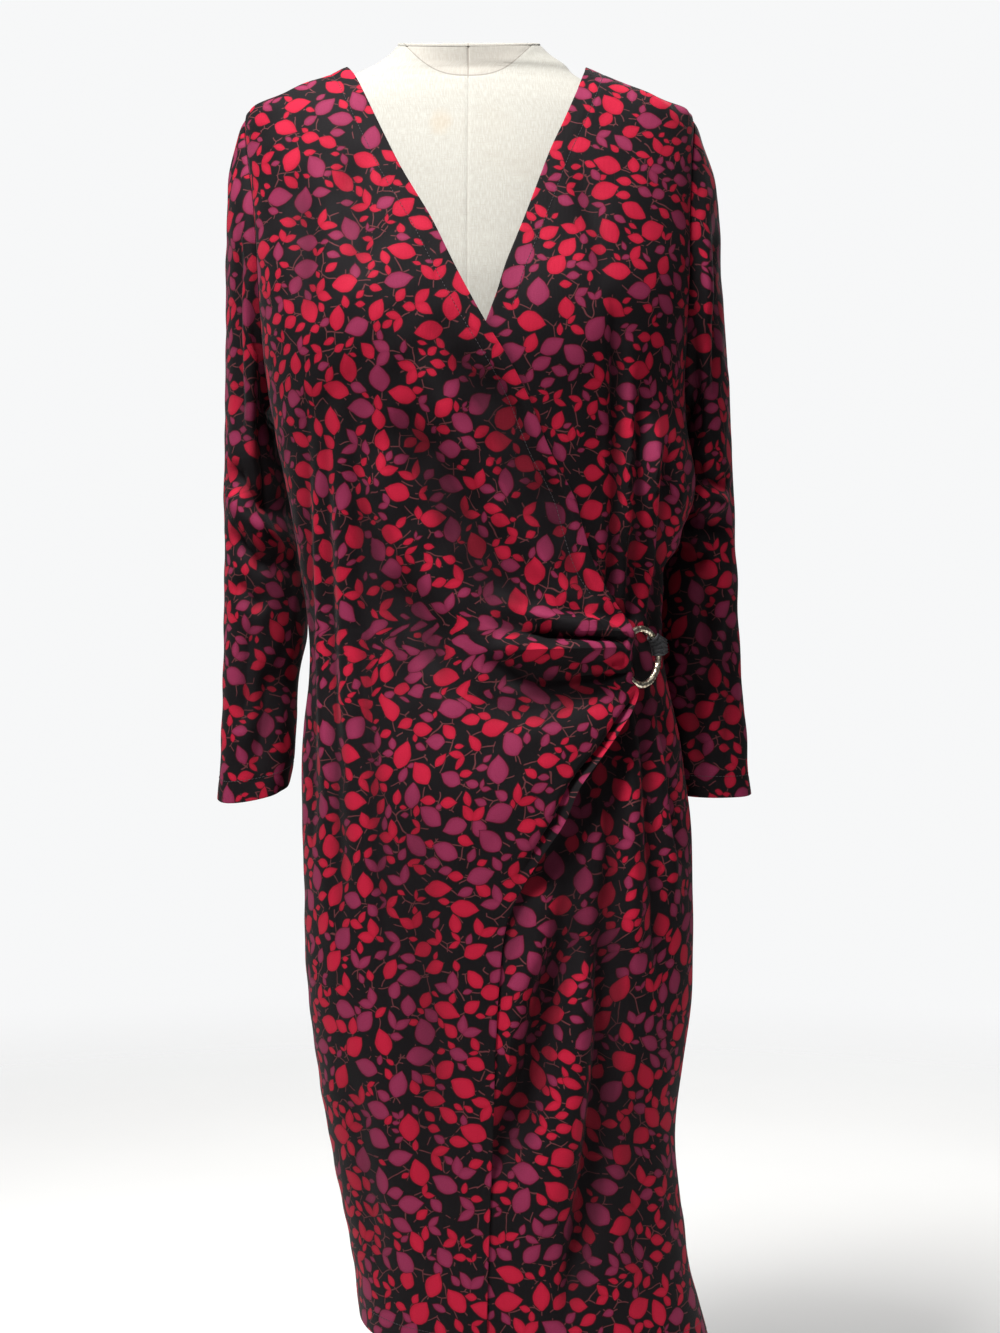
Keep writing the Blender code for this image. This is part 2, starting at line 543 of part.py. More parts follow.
def under_front_grid(columns):
    spread = np.linspace(0.0, 1.0, columns)
    grid = []
    seams = []
    for index, (edge_z, edge_x, side_z) in enumerate(UNDER_EDGE):
        side_angle = armhole_angle(np.array([side_z]), TIP_LEFT, True)[0]
        edge_angle = angle_at_x(np.array([edge_x]), np.array([edge_z]))[0]
        if index == 0:
            edge_angle = side_angle
        angles = side_angle + (edge_angle - side_angle) * spread
        heights = side_z + (edge_z - side_z) * spread
        points = plain_point(angles, heights)
        normals = outward(angles, heights)
        relief = fold_relief(points, UNDER_FOLDS) * smoothstep(0.0, 0.10, spread)
        relief = relief + bust(points) + blouse(points) * smoothstep(0.0, 0.10, spread)
        lap_x = smooth_curve(LAP_LINE, 1, points[:, 2])
        sunk = 1.0 - smoothstep(0.010, 0.055, points[:, 0] - lap_x)
        sunk = sunk * smoothstep(1.245, 1.215, points[:, 2])
        hollow = LAP_HOLLOW * smoothstep(0.0, 0.024, lap_x - points[:, 0])
        hollow = hollow * smoothstep(1.180, 1.140, points[:, 2])
        points = points + normals * (relief - LAP_DROP * sunk - hollow)[:, None]
        seam = np.zeros_like(normals)
        seam[0] = normals[0]
        if index == 0:
            seam[:] = normals
        grid.append(points)
        seams.append(seam)
    return np.array(grid)[:, ::-1], np.array(seams)[:, ::-1]


def back_grid(columns, rows):
    """Each column runs from the shoulder or the back neck down to the hem."""
    across = np.linspace(0.0, 1.0, columns)
    down = np.linspace(0.0, 1.0, rows) ** 1.4
    shoulder = 0.22
    neck = np.clip((across - shoulder) / (1.0 - 2.0 * shoulder), 0.0, 1.0)
    top_height = NECK_RIGHT + (NECK_LEFT - NECK_RIGHT) * neck - BACK_NECK_DIP * np.sin(np.pi * neck) ** 0.6
    rise_right = np.clip(across / shoulder, 0.0, 1.0)
    rise_left = np.clip((1.0 - across) / shoulder, 0.0, 1.0)
    top_height = top_height - (NECK_RIGHT - TIP_RIGHT) * (1.0 - rise_right)
    top_height = top_height - (NECK_LEFT - TIP_LEFT) * (1.0 - rise_left)
    low_height = HEM_RIGHT + (HEM_LEFT - HEM_RIGHT) * across
    u = across[None, :]
    v = down[:, None]
    heights = (1.0 - v) * top_height[None, :] + v * low_height[None, :]
    edge_right = math.pi + armhole_angle(heights[:, 0], TIP_RIGHT, False)[:, None]
    edge_left = math.pi - armhole_angle(heights[:, -1], TIP_LEFT, False)[:, None]
    even = smoothstep(0.0, 0.16, v)
    part = (1.0 - even) * neck[None, :] + even * u
    angles = edge_right + (edge_left - edge_right) * part
    points = plain_point(angles, heights)
    normals = outward(angles, heights)
    fall = 0.0022 * np.sin(5.0 * angles + 2.0 * heights) * smoothstep(0.95, 0.55, heights)
    fall = fall * np.sin(np.pi * u) ** 0.5
    seams = np.zeros_like(normals)
    seams[0] = normals[0]
    seams[:, 0] = normals[:, 0]
    seams[:, -1] = normals[:, -1]
    points = points + normals * fall[..., None]
    return points[:, ::-1], seams[:, ::-1]


def sleeve_grid(table, side, tip, around):
    """Loops from the armhole down to the cuff; the first follows the armhole itself."""
    turn = np.linspace(0.0, 2.0 * math.pi, around, endpoint=False)
    loops = []
    part = (1.0 - np.cos(turn)) / 2.0
    height = tip - (tip - UNDERARM) * part
    front_side = np.sin(turn) >= 0.0
    front_angle = armhole_angle(height, tip, True)
    back_angle = armhole_angle(height, tip, False)
    angle = np.where(front_side, side * front_angle, math.pi - side * back_angle)
    armhole = plain_point(angle, height)
    for index, (out_x, out_z, in_x, in_z, middle_y, half_depth, tilt) in enumerate(table):
        middle = np.array([(out_x + in_x) / 2.0, middle_y, (out_z + in_z) / 2.0])
        chord = np.array([(out_x - in_x) / 2.0, 0.0, (out_z - in_z) / 2.0])
        shape = middle + np.cos(turn)[:, None] * chord
        shape = shape + np.sin(turn)[:, None] * np.array([0.0, -half_depth, -tilt])
        drop = np.clip((index - 4) / 10.0, 0.0, 1.0)
        ripple = 0.0035 * drop * np.cos(3.0 * turn + 0.35 * index)
        away = unit(shape - middle)
        shape = shape + away * ripple[:, None]
        blend = max(0.0, 1.0 - index / 3.0) ** 1.5
        shift = np.zeros_like(armhole)
        shift[:, 0] = side * (0.0017 + 0.0008 * part + 0.006 * index)
        shift[:, 2] = -0.004 * index
        loops.append(shape * (1.0 - blend) + (armhole + shift) * blend)
    return np.array(loops)[:, ::int(-side)], None


def solid_of_rings(name, rings, material, around, squareness=2.0, crease=40.0):
    """Closed solid through section rings, capped at both ends."""
    power = 2.0 / squareness
    vertices = []
    faces = []
    for height, half, front, back, middle, lean in rings:
        for j in range(around):
            angle = 2.0 * math.pi * j / around
            s = math.sin(angle)
            c = math.cos(angle)
            depth = front if c > 0.0 else back
            x = middle + half * math.copysign(abs(s) ** power, s)
            y = -depth * math.copysign(abs(c) ** power, c)
            vertices.append((x, y, height + lean * y))
    for i in range(len(rings) - 1):
        for j in range(around):
            k = (j + 1) % around
            a = i * around + j
            b = i * around + k
            faces.append((a, b, b + around, a + around))
    faces.append(tuple(reversed(range(around))))
    faces.append(tuple(range((len(rings) - 1) * around, len(rings) * around)))
    return add_object(name, vertices, faces, material, crease=crease)


def ring_object(material, around, sides):
    vertices = []
    faces = []
    for i in range(around):
        turn = 2.0 * math.pi * i / around
        for j in range(sides):
            roll = 2.0 * math.pi * j / sides
            vertices.append(round_bar(turn, roll, BAR_RADIUS))
    for i in range(around):
        n = (i + 1) % around
        for j in range(sides):
            k = (j + 1) % sides
            faces.append((i * sides + j, n * sides + j, n * sides + k, i * sides + k))
    return add_object("ring", vertices, faces, material)


def tab_object(material):
    """Gathered strip from the left side seam, hooked round the ring's bar."""
    reach = BAR_RADIUS + TAB_THICK / 2.0 + 0.0009
    lines = []
    for level in np.linspace(1.0, -1.0, 5):
        turn = TAB_TURN + TAB_REACH * level
        path = []
        for step in range(9):
            path.append(round_bar(turn, math.radians(200.0 - 235.0 * step / 8.0), reach))
        last = path[-1]
        seam_z = RING_Z + 0.010 + TAB_END * level / 2.0
        seam_angle = np.array([math.radians(86.0)])
        seam = plain_point(seam_angle, np.array([seam_z]))[0]
        seam_out = outward(seam_angle, np.array([seam_z]))[0]
        target = seam + seam_out * (WALL / 2.0 + TAB_THICK / 2.0 + 0.0030)
        for step in range(1, 6):
            path.append(last + (target - last) * step / 5.0)
        lines.append(path)
    grid = np.array(lines)
    normals = grid_normals(grid)
    outer = grid + normals * TAB_THICK / 2.0
    inner = grid - normals * TAB_THICK / 2.0
    vertices = np.concatenate([outer.reshape(-1, 3), inner.reshape(-1, 3)])
    return add_object("ring_tab", vertices, shell_faces(5, len(path), False), material)


for old in list(bpy.data.objects):
    bpy.data.objects.remove(old, do_unlink=True)

print_cloth = make_material("printed_jersey", (0.22, 0.03, 0.07), 0.75)
print_under = make_material("printed_jersey_under", (0.22, 0.03, 0.07), 0.75)
print_back = make_material("printed_jersey_back", (0.20, 0.03, 0.06), 0.75)
print_sleeve_right = make_material("printed_jersey_sleeve_right", (0.20, 0.03, 0.06), 0.75)
print_sleeve_left = make_material("printed_jersey_sleeve_left", (0.20, 0.03, 0.06), 0.75)
linen = make_material("linen", (0.79, 0.77, 0.68), 0.85)
linen_cap = make_material("linen_cap", (0.77, 0.75, 0.66), 0.85)
gold = make_material("light_gold", (0.88, 0.84, 0.72), 0.28, 1.0)
black_band = make_material("black_band", (0.012, 0.012, 0.014), 0.8)
pole_steel = make_material("pole_steel", (0.60, 0.60, 0.60), 0.35, 1.0)
base_paint = make_material("base_paint", (0.03, 0.03, 0.03), 0.5)

cloth_object("front_right_over", over_front_grid(18, 7), print_cloth)
cloth_object("front_left_under", under_front_grid(17), print_under)
cloth_object("back", back_grid(21, 27), print_back)
cloth_object("sleeve_right", sleeve_grid(SLEEVE_RIGHT, -1.0, TIP_RIGHT, 20), print_sleeve_right, True)
cloth_object("sleeve_left", sleeve_grid(SLEEVE_LEFT, 1.0, TIP_LEFT, 20), print_sleeve_left, True)
ring_object(gold, 32, 10)
tab_object(black_band)

solid_of_rings("form_body", FORM_RINGS, linen, 32, squareness=2.2)
cap_lean = FORM_RINGS[-1][5]
cap_rings = (
    (FORM_TOP + SEAM_GAP, 0.0650, 0.0470, 0.0545, 0.0, cap_lean),
    (CAP_TOP - 0.0008, 0.0646, 0.0466, 0.0541, 0.0, cap_lean),
    (CAP_TOP, 0.0638, 0.0458, 0.0533, 0.0, cap_lean),
)
solid_of_rings("neck_cap", cap_rings, linen_cap, 32, squareness=2.2)
pole_x = FORM_RINGS[0][4]
pole_rings = (
    (BASE_HEIGHT + SEAM_GAP, POLE_RADIUS, POLE_RADIUS, POLE_RADIUS, pole_x, 0.0),
    (FORM_BOTTOM - SEAM_GAP, POLE_RADIUS, POLE_RADIUS, POLE_RADIUS, pole_x, 0.0),
)
solid_of_rings("pole", pole_rings, pole_steel, 20)
base_profile = (
    (0.0, BASE_RADIUS - 0.002), (0.002, BASE_RADIUS),
    (BASE_HEIGHT - 0.003, BASE_RADIUS), (BASE_HEIGHT, BASE_RADIUS - 0.003),
)
base_rings = [(height, radius, radius, radius, pole_x, 0.0) for height, radius in base_profile]
solid_of_rings("base", base_rings, base_paint, 40)
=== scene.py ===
# Wrap dress of leaf-printed jersey on a linen dress form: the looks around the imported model.
# Metres, +Z up, the front faces -Y. Angle 0 is the front, +90 degrees the wearer's left.
import math

import bpy
import numpy as np
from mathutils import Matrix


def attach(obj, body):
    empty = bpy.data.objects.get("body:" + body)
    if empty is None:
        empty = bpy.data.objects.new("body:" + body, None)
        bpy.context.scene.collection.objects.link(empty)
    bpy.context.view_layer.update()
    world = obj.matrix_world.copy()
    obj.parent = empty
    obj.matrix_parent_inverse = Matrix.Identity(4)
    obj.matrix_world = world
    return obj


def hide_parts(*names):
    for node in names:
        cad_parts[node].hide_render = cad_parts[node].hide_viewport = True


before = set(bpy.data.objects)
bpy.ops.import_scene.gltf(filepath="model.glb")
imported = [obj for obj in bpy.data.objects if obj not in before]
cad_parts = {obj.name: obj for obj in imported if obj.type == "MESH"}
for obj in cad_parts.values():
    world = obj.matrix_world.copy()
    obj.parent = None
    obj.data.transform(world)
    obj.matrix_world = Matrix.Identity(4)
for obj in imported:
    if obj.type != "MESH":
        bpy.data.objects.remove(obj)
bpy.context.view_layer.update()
print("stage: packed model loaded")

# camera, floor and light
view = {
    "place": (0.0285, -1.7, 0.889),
    "metresTall": 1333 * 0.00092,  # what the frame shows at the dress, top to bottom
    "floor": (0.80, 0.795, 0.78),
    "floorFades": (1.3, 3.4),  # how far out the floor runs into the wall
    "wall": (0.93, 0.935, 0.94),  # the pale studio behind the dress
    "ceiling": (1.35, 1.35, 1.35),  # the soft light overhead
    "room": (0.048, 0.048, 0.053),  # and the darker room all round
}
studioLights = (
    # name, place, aimed at, size, watts
    ("keyLight", (-0.72, -1.20, 3.15), (0.0, 0.0, 0.98), 0.7, 152.0),
    ("fillLight", (1.2, -3.0, 1.4), (0.0, 0.0, 0.7), 2.0, 6.0),
    ("backLight", (0.9, 2.6, 2.6), (0.0, 0.0, 1.0), 2.0, 34.0),
)


def aimAt(item, place, target):
    delta = np.array(target, dtype=float) - np.array(place, dtype=float)
    flat = math.hypot(delta[0], delta[1])
    item.location = place
    item.rotation_euler = (math.atan2(flat, -delta[2]), 0.0, math.atan2(-delta[0], delta[1]))


def addCamera():
    data = bpy.data.cameras.new("studioCamera")
    data.sensor_fit = "VERTICAL"
    data.sensor_height = 36.0
    data.lens = 36.0 * abs(view["place"][1]) / view["metresTall"]
    data.clip_start = 0.05
    item = bpy.data.objects.new("studioCamera", data)
    bpy.context.scene.collection.objects.link(item)
    item.location = view["place"]
    item.rotation_euler = (math.radians(90.0), 0.0, 0.0)
    bpy.context.scene.camera = item


def addLights():
    for name, place, target, size, watts in studioLights:
        data = bpy.data.lights.new(name, "AREA")
        data.size = size
        data.energy = watts
        item = bpy.data.objects.new(name, data)
        bpy.context.scene.collection.objects.link(item)
        aimAt(item, place, target)


addCamera()
addLights()
bpy.context.scene.view_settings.view_transform = "Standard"
print("stage: camera and lights")


# materials: one small class for sockets, one for a material's tree
class Wire:
    def __init__(self, shade, socket):
        self.shade = shade
        self.socket = socket

    def __add__(self, other):
        return self.shade.calc("ADD", self, other)

    def __radd__(self, other):
        return self.shade.calc("ADD", other, self)

    def __sub__(self, other):
        return self.shade.calc("SUBTRACT", self, other)

    def __rsub__(self, other):
        return self.shade.calc("SUBTRACT", other, self)

    def __mul__(self, other):
        return self.shade.calc("MULTIPLY", self, other)

    def __rmul__(self, other):
        return self.shade.calc("MULTIPLY", other, self)

    def __truediv__(self, other):
        return self.shade.calc("DIVIDE", self, other)

    def __rtruediv__(self, other):
        return self.shade.calc("DIVIDE", other, self)

    def __pow__(self, other):
        return self.shade.calc("POWER", self, other)

    def __rpow__(self, other):
        return self.shade.calc("POWER", other, self)

    def __neg__(self):
        return self.shade.calc("MULTIPLY", self, -1.0)

    def __abs__(self):
        return self.shade.calc("ABSOLUTE", self)


class Shade:
    def __init__(self, name, world=False):
        self.material = (bpy.data.worlds if world else bpy.data.materials).new(name)
        self.material.use_nodes = True
        self.tree = self.material.node_tree
        self.tree.nodes.clear()

    def node(self, kind, settings, values):
        made = self.tree.nodes.new(kind)
        for key, value in settings.items():
            if key == "stops":
                ramp = made.color_ramp
                while len(ramp.elements) < len(value):
                    ramp.elements.new(1.0)
                for element, (place, colour) in zip(ramp.elements, value):
                    element.position = place
                    element.color = (*colour, 1.0)
            else:
                setattr(made, key, value)
        for key, value in values.items():
            if isinstance(value, Wire):
                self.tree.links.new(value.socket, made.inputs[key])
            else:
                made.inputs[key].default_value = value
        outs = {i: Wire(self, socket) for i, socket in enumerate(made.outputs)}
        outs.update({socket.name: Wire(self, socket) for socket in reversed(made.outputs)})
        return outs

    def calc(self, operation, first, second=0.0):
        values = {0: first, 1: second}
        if operation in ("ABSOLUTE", "SINE", "COSINE", "SQRT"):
            values = {0: first}
        return self.node("ShaderNodeMath", {"operation": operation}, values)[0]

    def blendRange(self, value, low, high):  # smooth 0 to 1 from low to high
        settings = {"interpolation_type": "SMOOTHSTEP", "data_type": "FLOAT"}
        return self.node("ShaderNodeMapRange", settings, {0: value, 1: low, 2: high, 3: 0.0, 4: 1.0})[0]

    def vector(self, operation, first, second):
        settings = {"operation": operation}
        if operation == "SCALE":
            return self.node("ShaderNodeVectorMath", settings, {0: first, 3: second})[0]
        return self.node("ShaderNodeVectorMath", settings, {0: first, 1: second})[0]

    def turned(self, vector, angle):
        settings = {"rotation_type": "Z_AXIS"}
        return self.node("ShaderNodeVectorRotate", settings, {"Vector": vector, "Angle": angle})[0]

    def parts(self, vector):
        outs = self.node("ShaderNodeSeparateXYZ", {}, {0: vector})
        return outs[0], outs[1], outs[2]

    def colour(self, factor, first, second, blend="MIX"):
        settings = {"data_type": "RGBA", "blend_type": blend}
        pair = [value if isinstance(value, Wire) else (*value, 1.0) for value in (first, second)]
        return self.node("ShaderNodeMix", settings, {0: factor, 6: pair[0], 7: pair[1]})[2]

    def noise(self, vector, scale, detail=2.0, rough=0.5):
        values = {"Vector": vector, "Scale": scale, "Detail": detail, "Roughness": rough}
        return self.node("ShaderNodeTexNoise", {"noise_dimensions": "3D"}, values)

    def uv(self, name):
        return self.node("ShaderNodeUVMap", {"uv_map": name}, {})[0]

    def place(self):
        return self.node("ShaderNodeTexCoord", {}, {})["Object"]

    def finish(self, colour, roughness, height=None, relief=0.0, **plain):
        values = {"Base Color": colour, "Roughness": roughness}
        if height is not None:
            bumped = self.node("ShaderNodeBump", {}, {"Height": height, "Distance": relief, "Strength": 1.0})
            values["Normal"] = bumped["Normal"]
        values.update(plain)
        shader = self.node("ShaderNodeBsdfPrincipled", {}, values)
        self.node("ShaderNodeOutputMaterial", {}, {"Surface": shader["BSDF"]})
        return self.material


def studioAir():  # soft light overhead, and a pale wall on every side
    shade = Shade("studioAir", True)
    up = shade.parts(shade.node("ShaderNodeTexCoord", {}, {})["Generated"])[2]
    tone = shade.colour(shade.blendRange(up, 0.70, 0.95), view["room"], view["ceiling"])
    seen = shade.node("ShaderNodeLightPath", {}, {})["Is Camera Ray"]
    tone = shade.colour(seen, tone, view["wall"])
    air = shade.node("ShaderNodeBackground", {}, {"Color": tone, "Strength": 1.0})
    shade.node("ShaderNodeOutputWorld", {}, {"Surface": air[0]})
    bpy.context.scene.world = shade.material


studioAir()

leafPrint = {
    # cell: spacing, most and least: room a leaf may take, pairs: share of twin leaves
    "large": {
        "cell": 0.0276, "turn": 0.50, "scatter": 0.62, "most": 0.0108, "least": 0.0050,
        "pairs": 0.36, "plump": 0.60},
    "middle": {
        "cell": 0.0172, "turn": 1.20, "scatter": 0.66, "most": 0.0084, "least": 0.0042,
        "pairs": 0.16, "plump": 0.55},
    "small": {
        "cell": 0.0132, "turn": 2.00, "scatter": 0.75, "most": 0.0060, "least": 0.0032,
        "pairs": 0.0, "plump": 0.50},
    "apart": 0.0001,  # black left between two leaves
    "wander": 0.0010, "waver": 110.0,  # how far the outlines waver, and how finely
    "leaning": 4.2,  # how far the leaves turn, in radians
    "length": 1.16, "plumpSway": 0.16,  # length as a share of the room, and how the width differs
    "footShape": 0.82, "tipShape": 1.04,
    # twins spread from one stalk: they are shorter and thinner and start closer to the middle
    "twinAngle": 0.66, "twinShorter": 0.36, "twinThinner": 0.14, "twinCloser": 0.46,
    "outOfSight": 0.03,  # moved this far off where there's too little room
    "redShare": 0.58,
    "red": (0.420, 0.007, 0.032), "redDeep": (0.340, 0.004, 0.022),
    "plum": (0.232, 0.020, 0.066), "plumDeep": (0.178, 0.013, 0.047),
    "rim": (0.060, 0.002, 0.007),
    "ground": (0.0036, 0.0022, 0.0030),
    "twig": (0.115, 0.027, 0.031),
    "twigHalf": 0.00032,
    "stalkBend": 60.0,
    "forks": 0.0205, "forkSway": 0.011,  # spacing of the forked twigs, and how far they bend
    "forkBends": 48.0, "forkGaps": 70.0, "mottle": 900.0,  # how fine their bends, gaps and the mottle are
    "paintedShadeStrength": 0.62,  # how far full painted shade darkens the cloth towards the black ground
}
knitLook = {
    "rib": 0.0011, "loop": 0.0009, "stagger": 1.2,
    "relief": 0.00012, "wrongRelief": 0.00020,
    "rough": 0.72,
    "wrongPale": 0.40, "wrongTone": (0.060, 0.050, 0.055),  # how far the inside pales, and to what
}


def leafRoom(shade, place, layer):  # the middle of the leaf at this place, its room and its luck
    turned = shade.turned(place, layer["turn"])
    values = {"Vector": shade.vector("SCALE", turned, 1.0 / layer["cell"]), "Scale": 1.0,
              "Randomness": layer["scatter"]}
    cell = shade.node("ShaderNodeTexVoronoi", {"voronoi_dimensions": "2D", "feature": "F1"}, values)
    values["Vector"] = cell["Position"]
    edge = {"voronoi_dimensions": "2D", "feature": "DISTANCE_TO_EDGE"}
    room = shade.node("ShaderNodeTexVoronoi", edge, values)
    middle = shade.turned(shade.vector("SCALE", cell["Position"], layer["cell"]), -layer["turn"])
    return middle, room["Distance"] * layer["cell"], cell["Color"]


def leafOutline(shade, away, room, luck, layer):  # below nothing inside a leaf, or inside twins on one stalk
    look = leafPrint
    x, y = shade.parts(away)[:2]
    luckA, luckB, luckC = shade.parts(luck)
    turn = (luckA - 0.5) * look["leaning"]
    c = shade.calc("COSINE", turn)
    s = shade.calc("SINE", turn)
    along = y * c + x * s
    aside = x * c - y * s
    across = abs(aside)
    pair = shade.calc("LESS_THAN", luckB, layer["pairs"])
    half = room * (look["length"] - look["twinShorter"] * pair)
    wide = half * (layer["plump"] + look["plumpSway"] * luckC - look["twinThinner"] * pair)
    start = along + room * (look["length"] - look["twinCloser"] * pair)
    cosine = 1.0 - (1.0 - math.cos(look["twinAngle"])) * pair
    sine = math.sin(look["twinAngle"]) * pair
    lengthwise = (start * cosine + across * sine) / half - 1.0
    sideways = abs(across * cosine - start * sine)
    base = shade.calc("MAXIMUM", 1.0 + lengthwise, 0.0) ** look["footShape"]
    tip = shade.calc("MAXIMUM", 1.0 - lengthwise, 0.0) ** look["tipShape"]
    leaf = shade.calc("MAXIMUM", sideways - wide * base * tip * 0.98, (abs(lengthwise) - 1.0) * half)
    # the stalk leaves the foot in a slight curve
    below = shade.calc("MAXIMUM", -start, 0.0)
    stalk = abs(aside + (luckC - 0.5) * look["stalkBend"] * below * below) - look["twigHalf"]
    stalk = shade.calc("MAXIMUM", stalk, start - 0.001)
    return leaf, stalk


def leafLayer(shade, place, layers):  # the smallest of these leaves, fitted between the larger ones
    layer = layers[-1]
    middle, room, luck = leafRoom(shade, place, layer)
    room = shade.calc("MINIMUM", room, layer["most"])
    for count in range(1, len(layers)):
        larger = leafLayer(shade, middle, layers[:count])[0]
        room = shade.calc("MINIMUM", room, larger - leafPrint["apart"])
    missing = shade.calc("LESS_THAN", room, layer["least"]) * leafPrint["outOfSight"]
    room = shade.calc("MAXIMUM", room, 0.0005)
    leaf, stalk = leafOutline(shade, shade.vector("SUBTRACT", place, middle), room, luck, layer)
    return leaf + missing, stalk + missing, luck


def leafTone(shade, cloth, leaf, luck):
    look = leafPrint
    more = shade.node("ShaderNodeTexWhiteNoise", {"noise_dimensions": "3D"}, {"Vector": luck})
    isRed = shade.calc("LESS_THAN", more["Value"], look["redShare"])
    heart = shade.blendRange(leaf, -0.0042, -0.0002)
    redLeaf = shade.colour(heart, look["red"], look["redDeep"])
    plumLeaf = shade.colour(heart, look["plum"], look["plumDeep"])
    cloth = shade.colour((1.0 - shade.blendRange(leaf, 0.0, 0.0008)) * 0.9, cloth, look["rim"])
    inside = 1.0 - shade.blendRange(leaf, -0.0006, -0.0001)
    return shade.colour(inside, cloth, shade.colour(isRed, plumLeaf, redLeaf))


def jersey(name, wrongSide):
    look = leafPrint
    shade = Shade(name)
    flat = shade.uv("cloth")
    waver = shade.vector("SUBTRACT", shade.noise(flat, look["waver"], 1.0)["Color"], (0.5, 0.5, 0.5))
    bent = shade.vector("ADD", flat, shade.vector("SCALE", waver, 2.0 * look["wander"]))
    layers = [look["large"], look["middle"], look["small"]]
    drawn = [leafLayer(shade, bent, layers[:count]) for count in (1, 2, 3)]
    # twigs: the stalks of the two larger sizes, and forks that wander between the leaves
    sway = shade.vector("SUBTRACT", shade.noise(flat, look["forkBends"], 1.0)["Color"], (0.5, 0.5, 0.5))
    swayed = shade.vector("ADD", flat, shade.vector("SCALE", sway, look["forkSway"]))
    edge = {"voronoi_dimensions": "2D", "feature": "DISTANCE_TO_EDGE"}
    forks = shade.node(
        "ShaderNodeTexVoronoi", edge,
        {"Vector": shade.vector("SCALE", swayed, 1.0 / look["forks"]), "Scale": 1.0, "Randomness": 1.0})
    kept = shade.blendRange(shade.noise(flat, look["forkGaps"], 1.0)["Fac"], 0.47, 0.50)
    twig = forks["Distance"] * look["forks"] - look["twigHalf"] + (1.0 - kept) * 0.01
    twig = shade.calc("MINIMUM", twig, shade.calc("MINIMUM", drawn[0][1], drawn[1][1]))
    cloth = shade.colour(1.0 - shade.blendRange(twig, -0.0001, 0.0004), look["ground"], look["twig"])
    for leaf, stalk, luck in reversed(drawn):
        cloth = leafTone(shade, cloth, leaf, luck)
    mottle = shade.noise(flat, look["mottle"], 2.0)["Fac"]
    cloth = shade.colour(0.30 * mottle, cloth, (0.0, 0.0, 0.0))
    if wrongSide:
        cloth = shade.colour(knitLook["wrongPale"], cloth, knitLook["wrongTone"])
    # painted shade: fold hollows, the sides by the sleeves, beside the lap and the lip and inside the ring
    # are darkened
    deep = shade.node("ShaderNodeAttribute", {"attribute_name": "crease"}, {})["Fac"]
    cloth = shade.colour(look["paintedShadeStrength"] * deep, cloth, look["ground"])
    # fine knit ribs, with a slight stagger along each
    u, v = shade.parts(flat)[:2]
    rib = shade.calc("SINE", u * (2.0 * math.pi / knitLook["rib"]))
    loop = shade.calc("SINE", v * (2.0 * math.pi / knitLook["loop"]) + rib * knitLook["stagger"])
    knit = 0.5 + 0.32 * rib + 0.14 * loop
    rough = knitLook["rough"] + 0.10 * mottle
    return shade.finish(
        cloth, rough, knit, knitLook["wrongRelief" if wrongSide else "relief"],
        **{"Sheen Weight": 0.02, "Sheen Roughness": 0.45, "Specular IOR Level": 0.12})


linenLook = {
    "warp": 0.0012, "weft": 0.0013, "relief": 0.00035,  # spacing of the threads, and their relief
    "thick": (0.398, 0.388, 0.350), "thin": (0.350, 0.337, 0.300),
    "slub": (0.295, 0.280, 0.240), "between": (0.235, 0.222, 0.185),
    "aged": (0.31, 0.26, 0.19),
    "stain": (0.36, 0.27, 0.17), "stainX": -0.024, "stainZ": 1.366,
    "stainAcross": 4200.0, "stainUp": 2200.0,  # how fast it fades, the larger the faster
    "slubLong": 130.0, "slubFine": 1100.0,
    "seam": (0.16, 0.14, 0.12), "neck": (0.40, 0.34, 0.29),
}
# the neck seam's height is low + rise * (|x| / wide) ** bend
neckSeam = {"low": 1.4163, "rise": 0.0440, "wide": 0.062, "bend": 2.5}


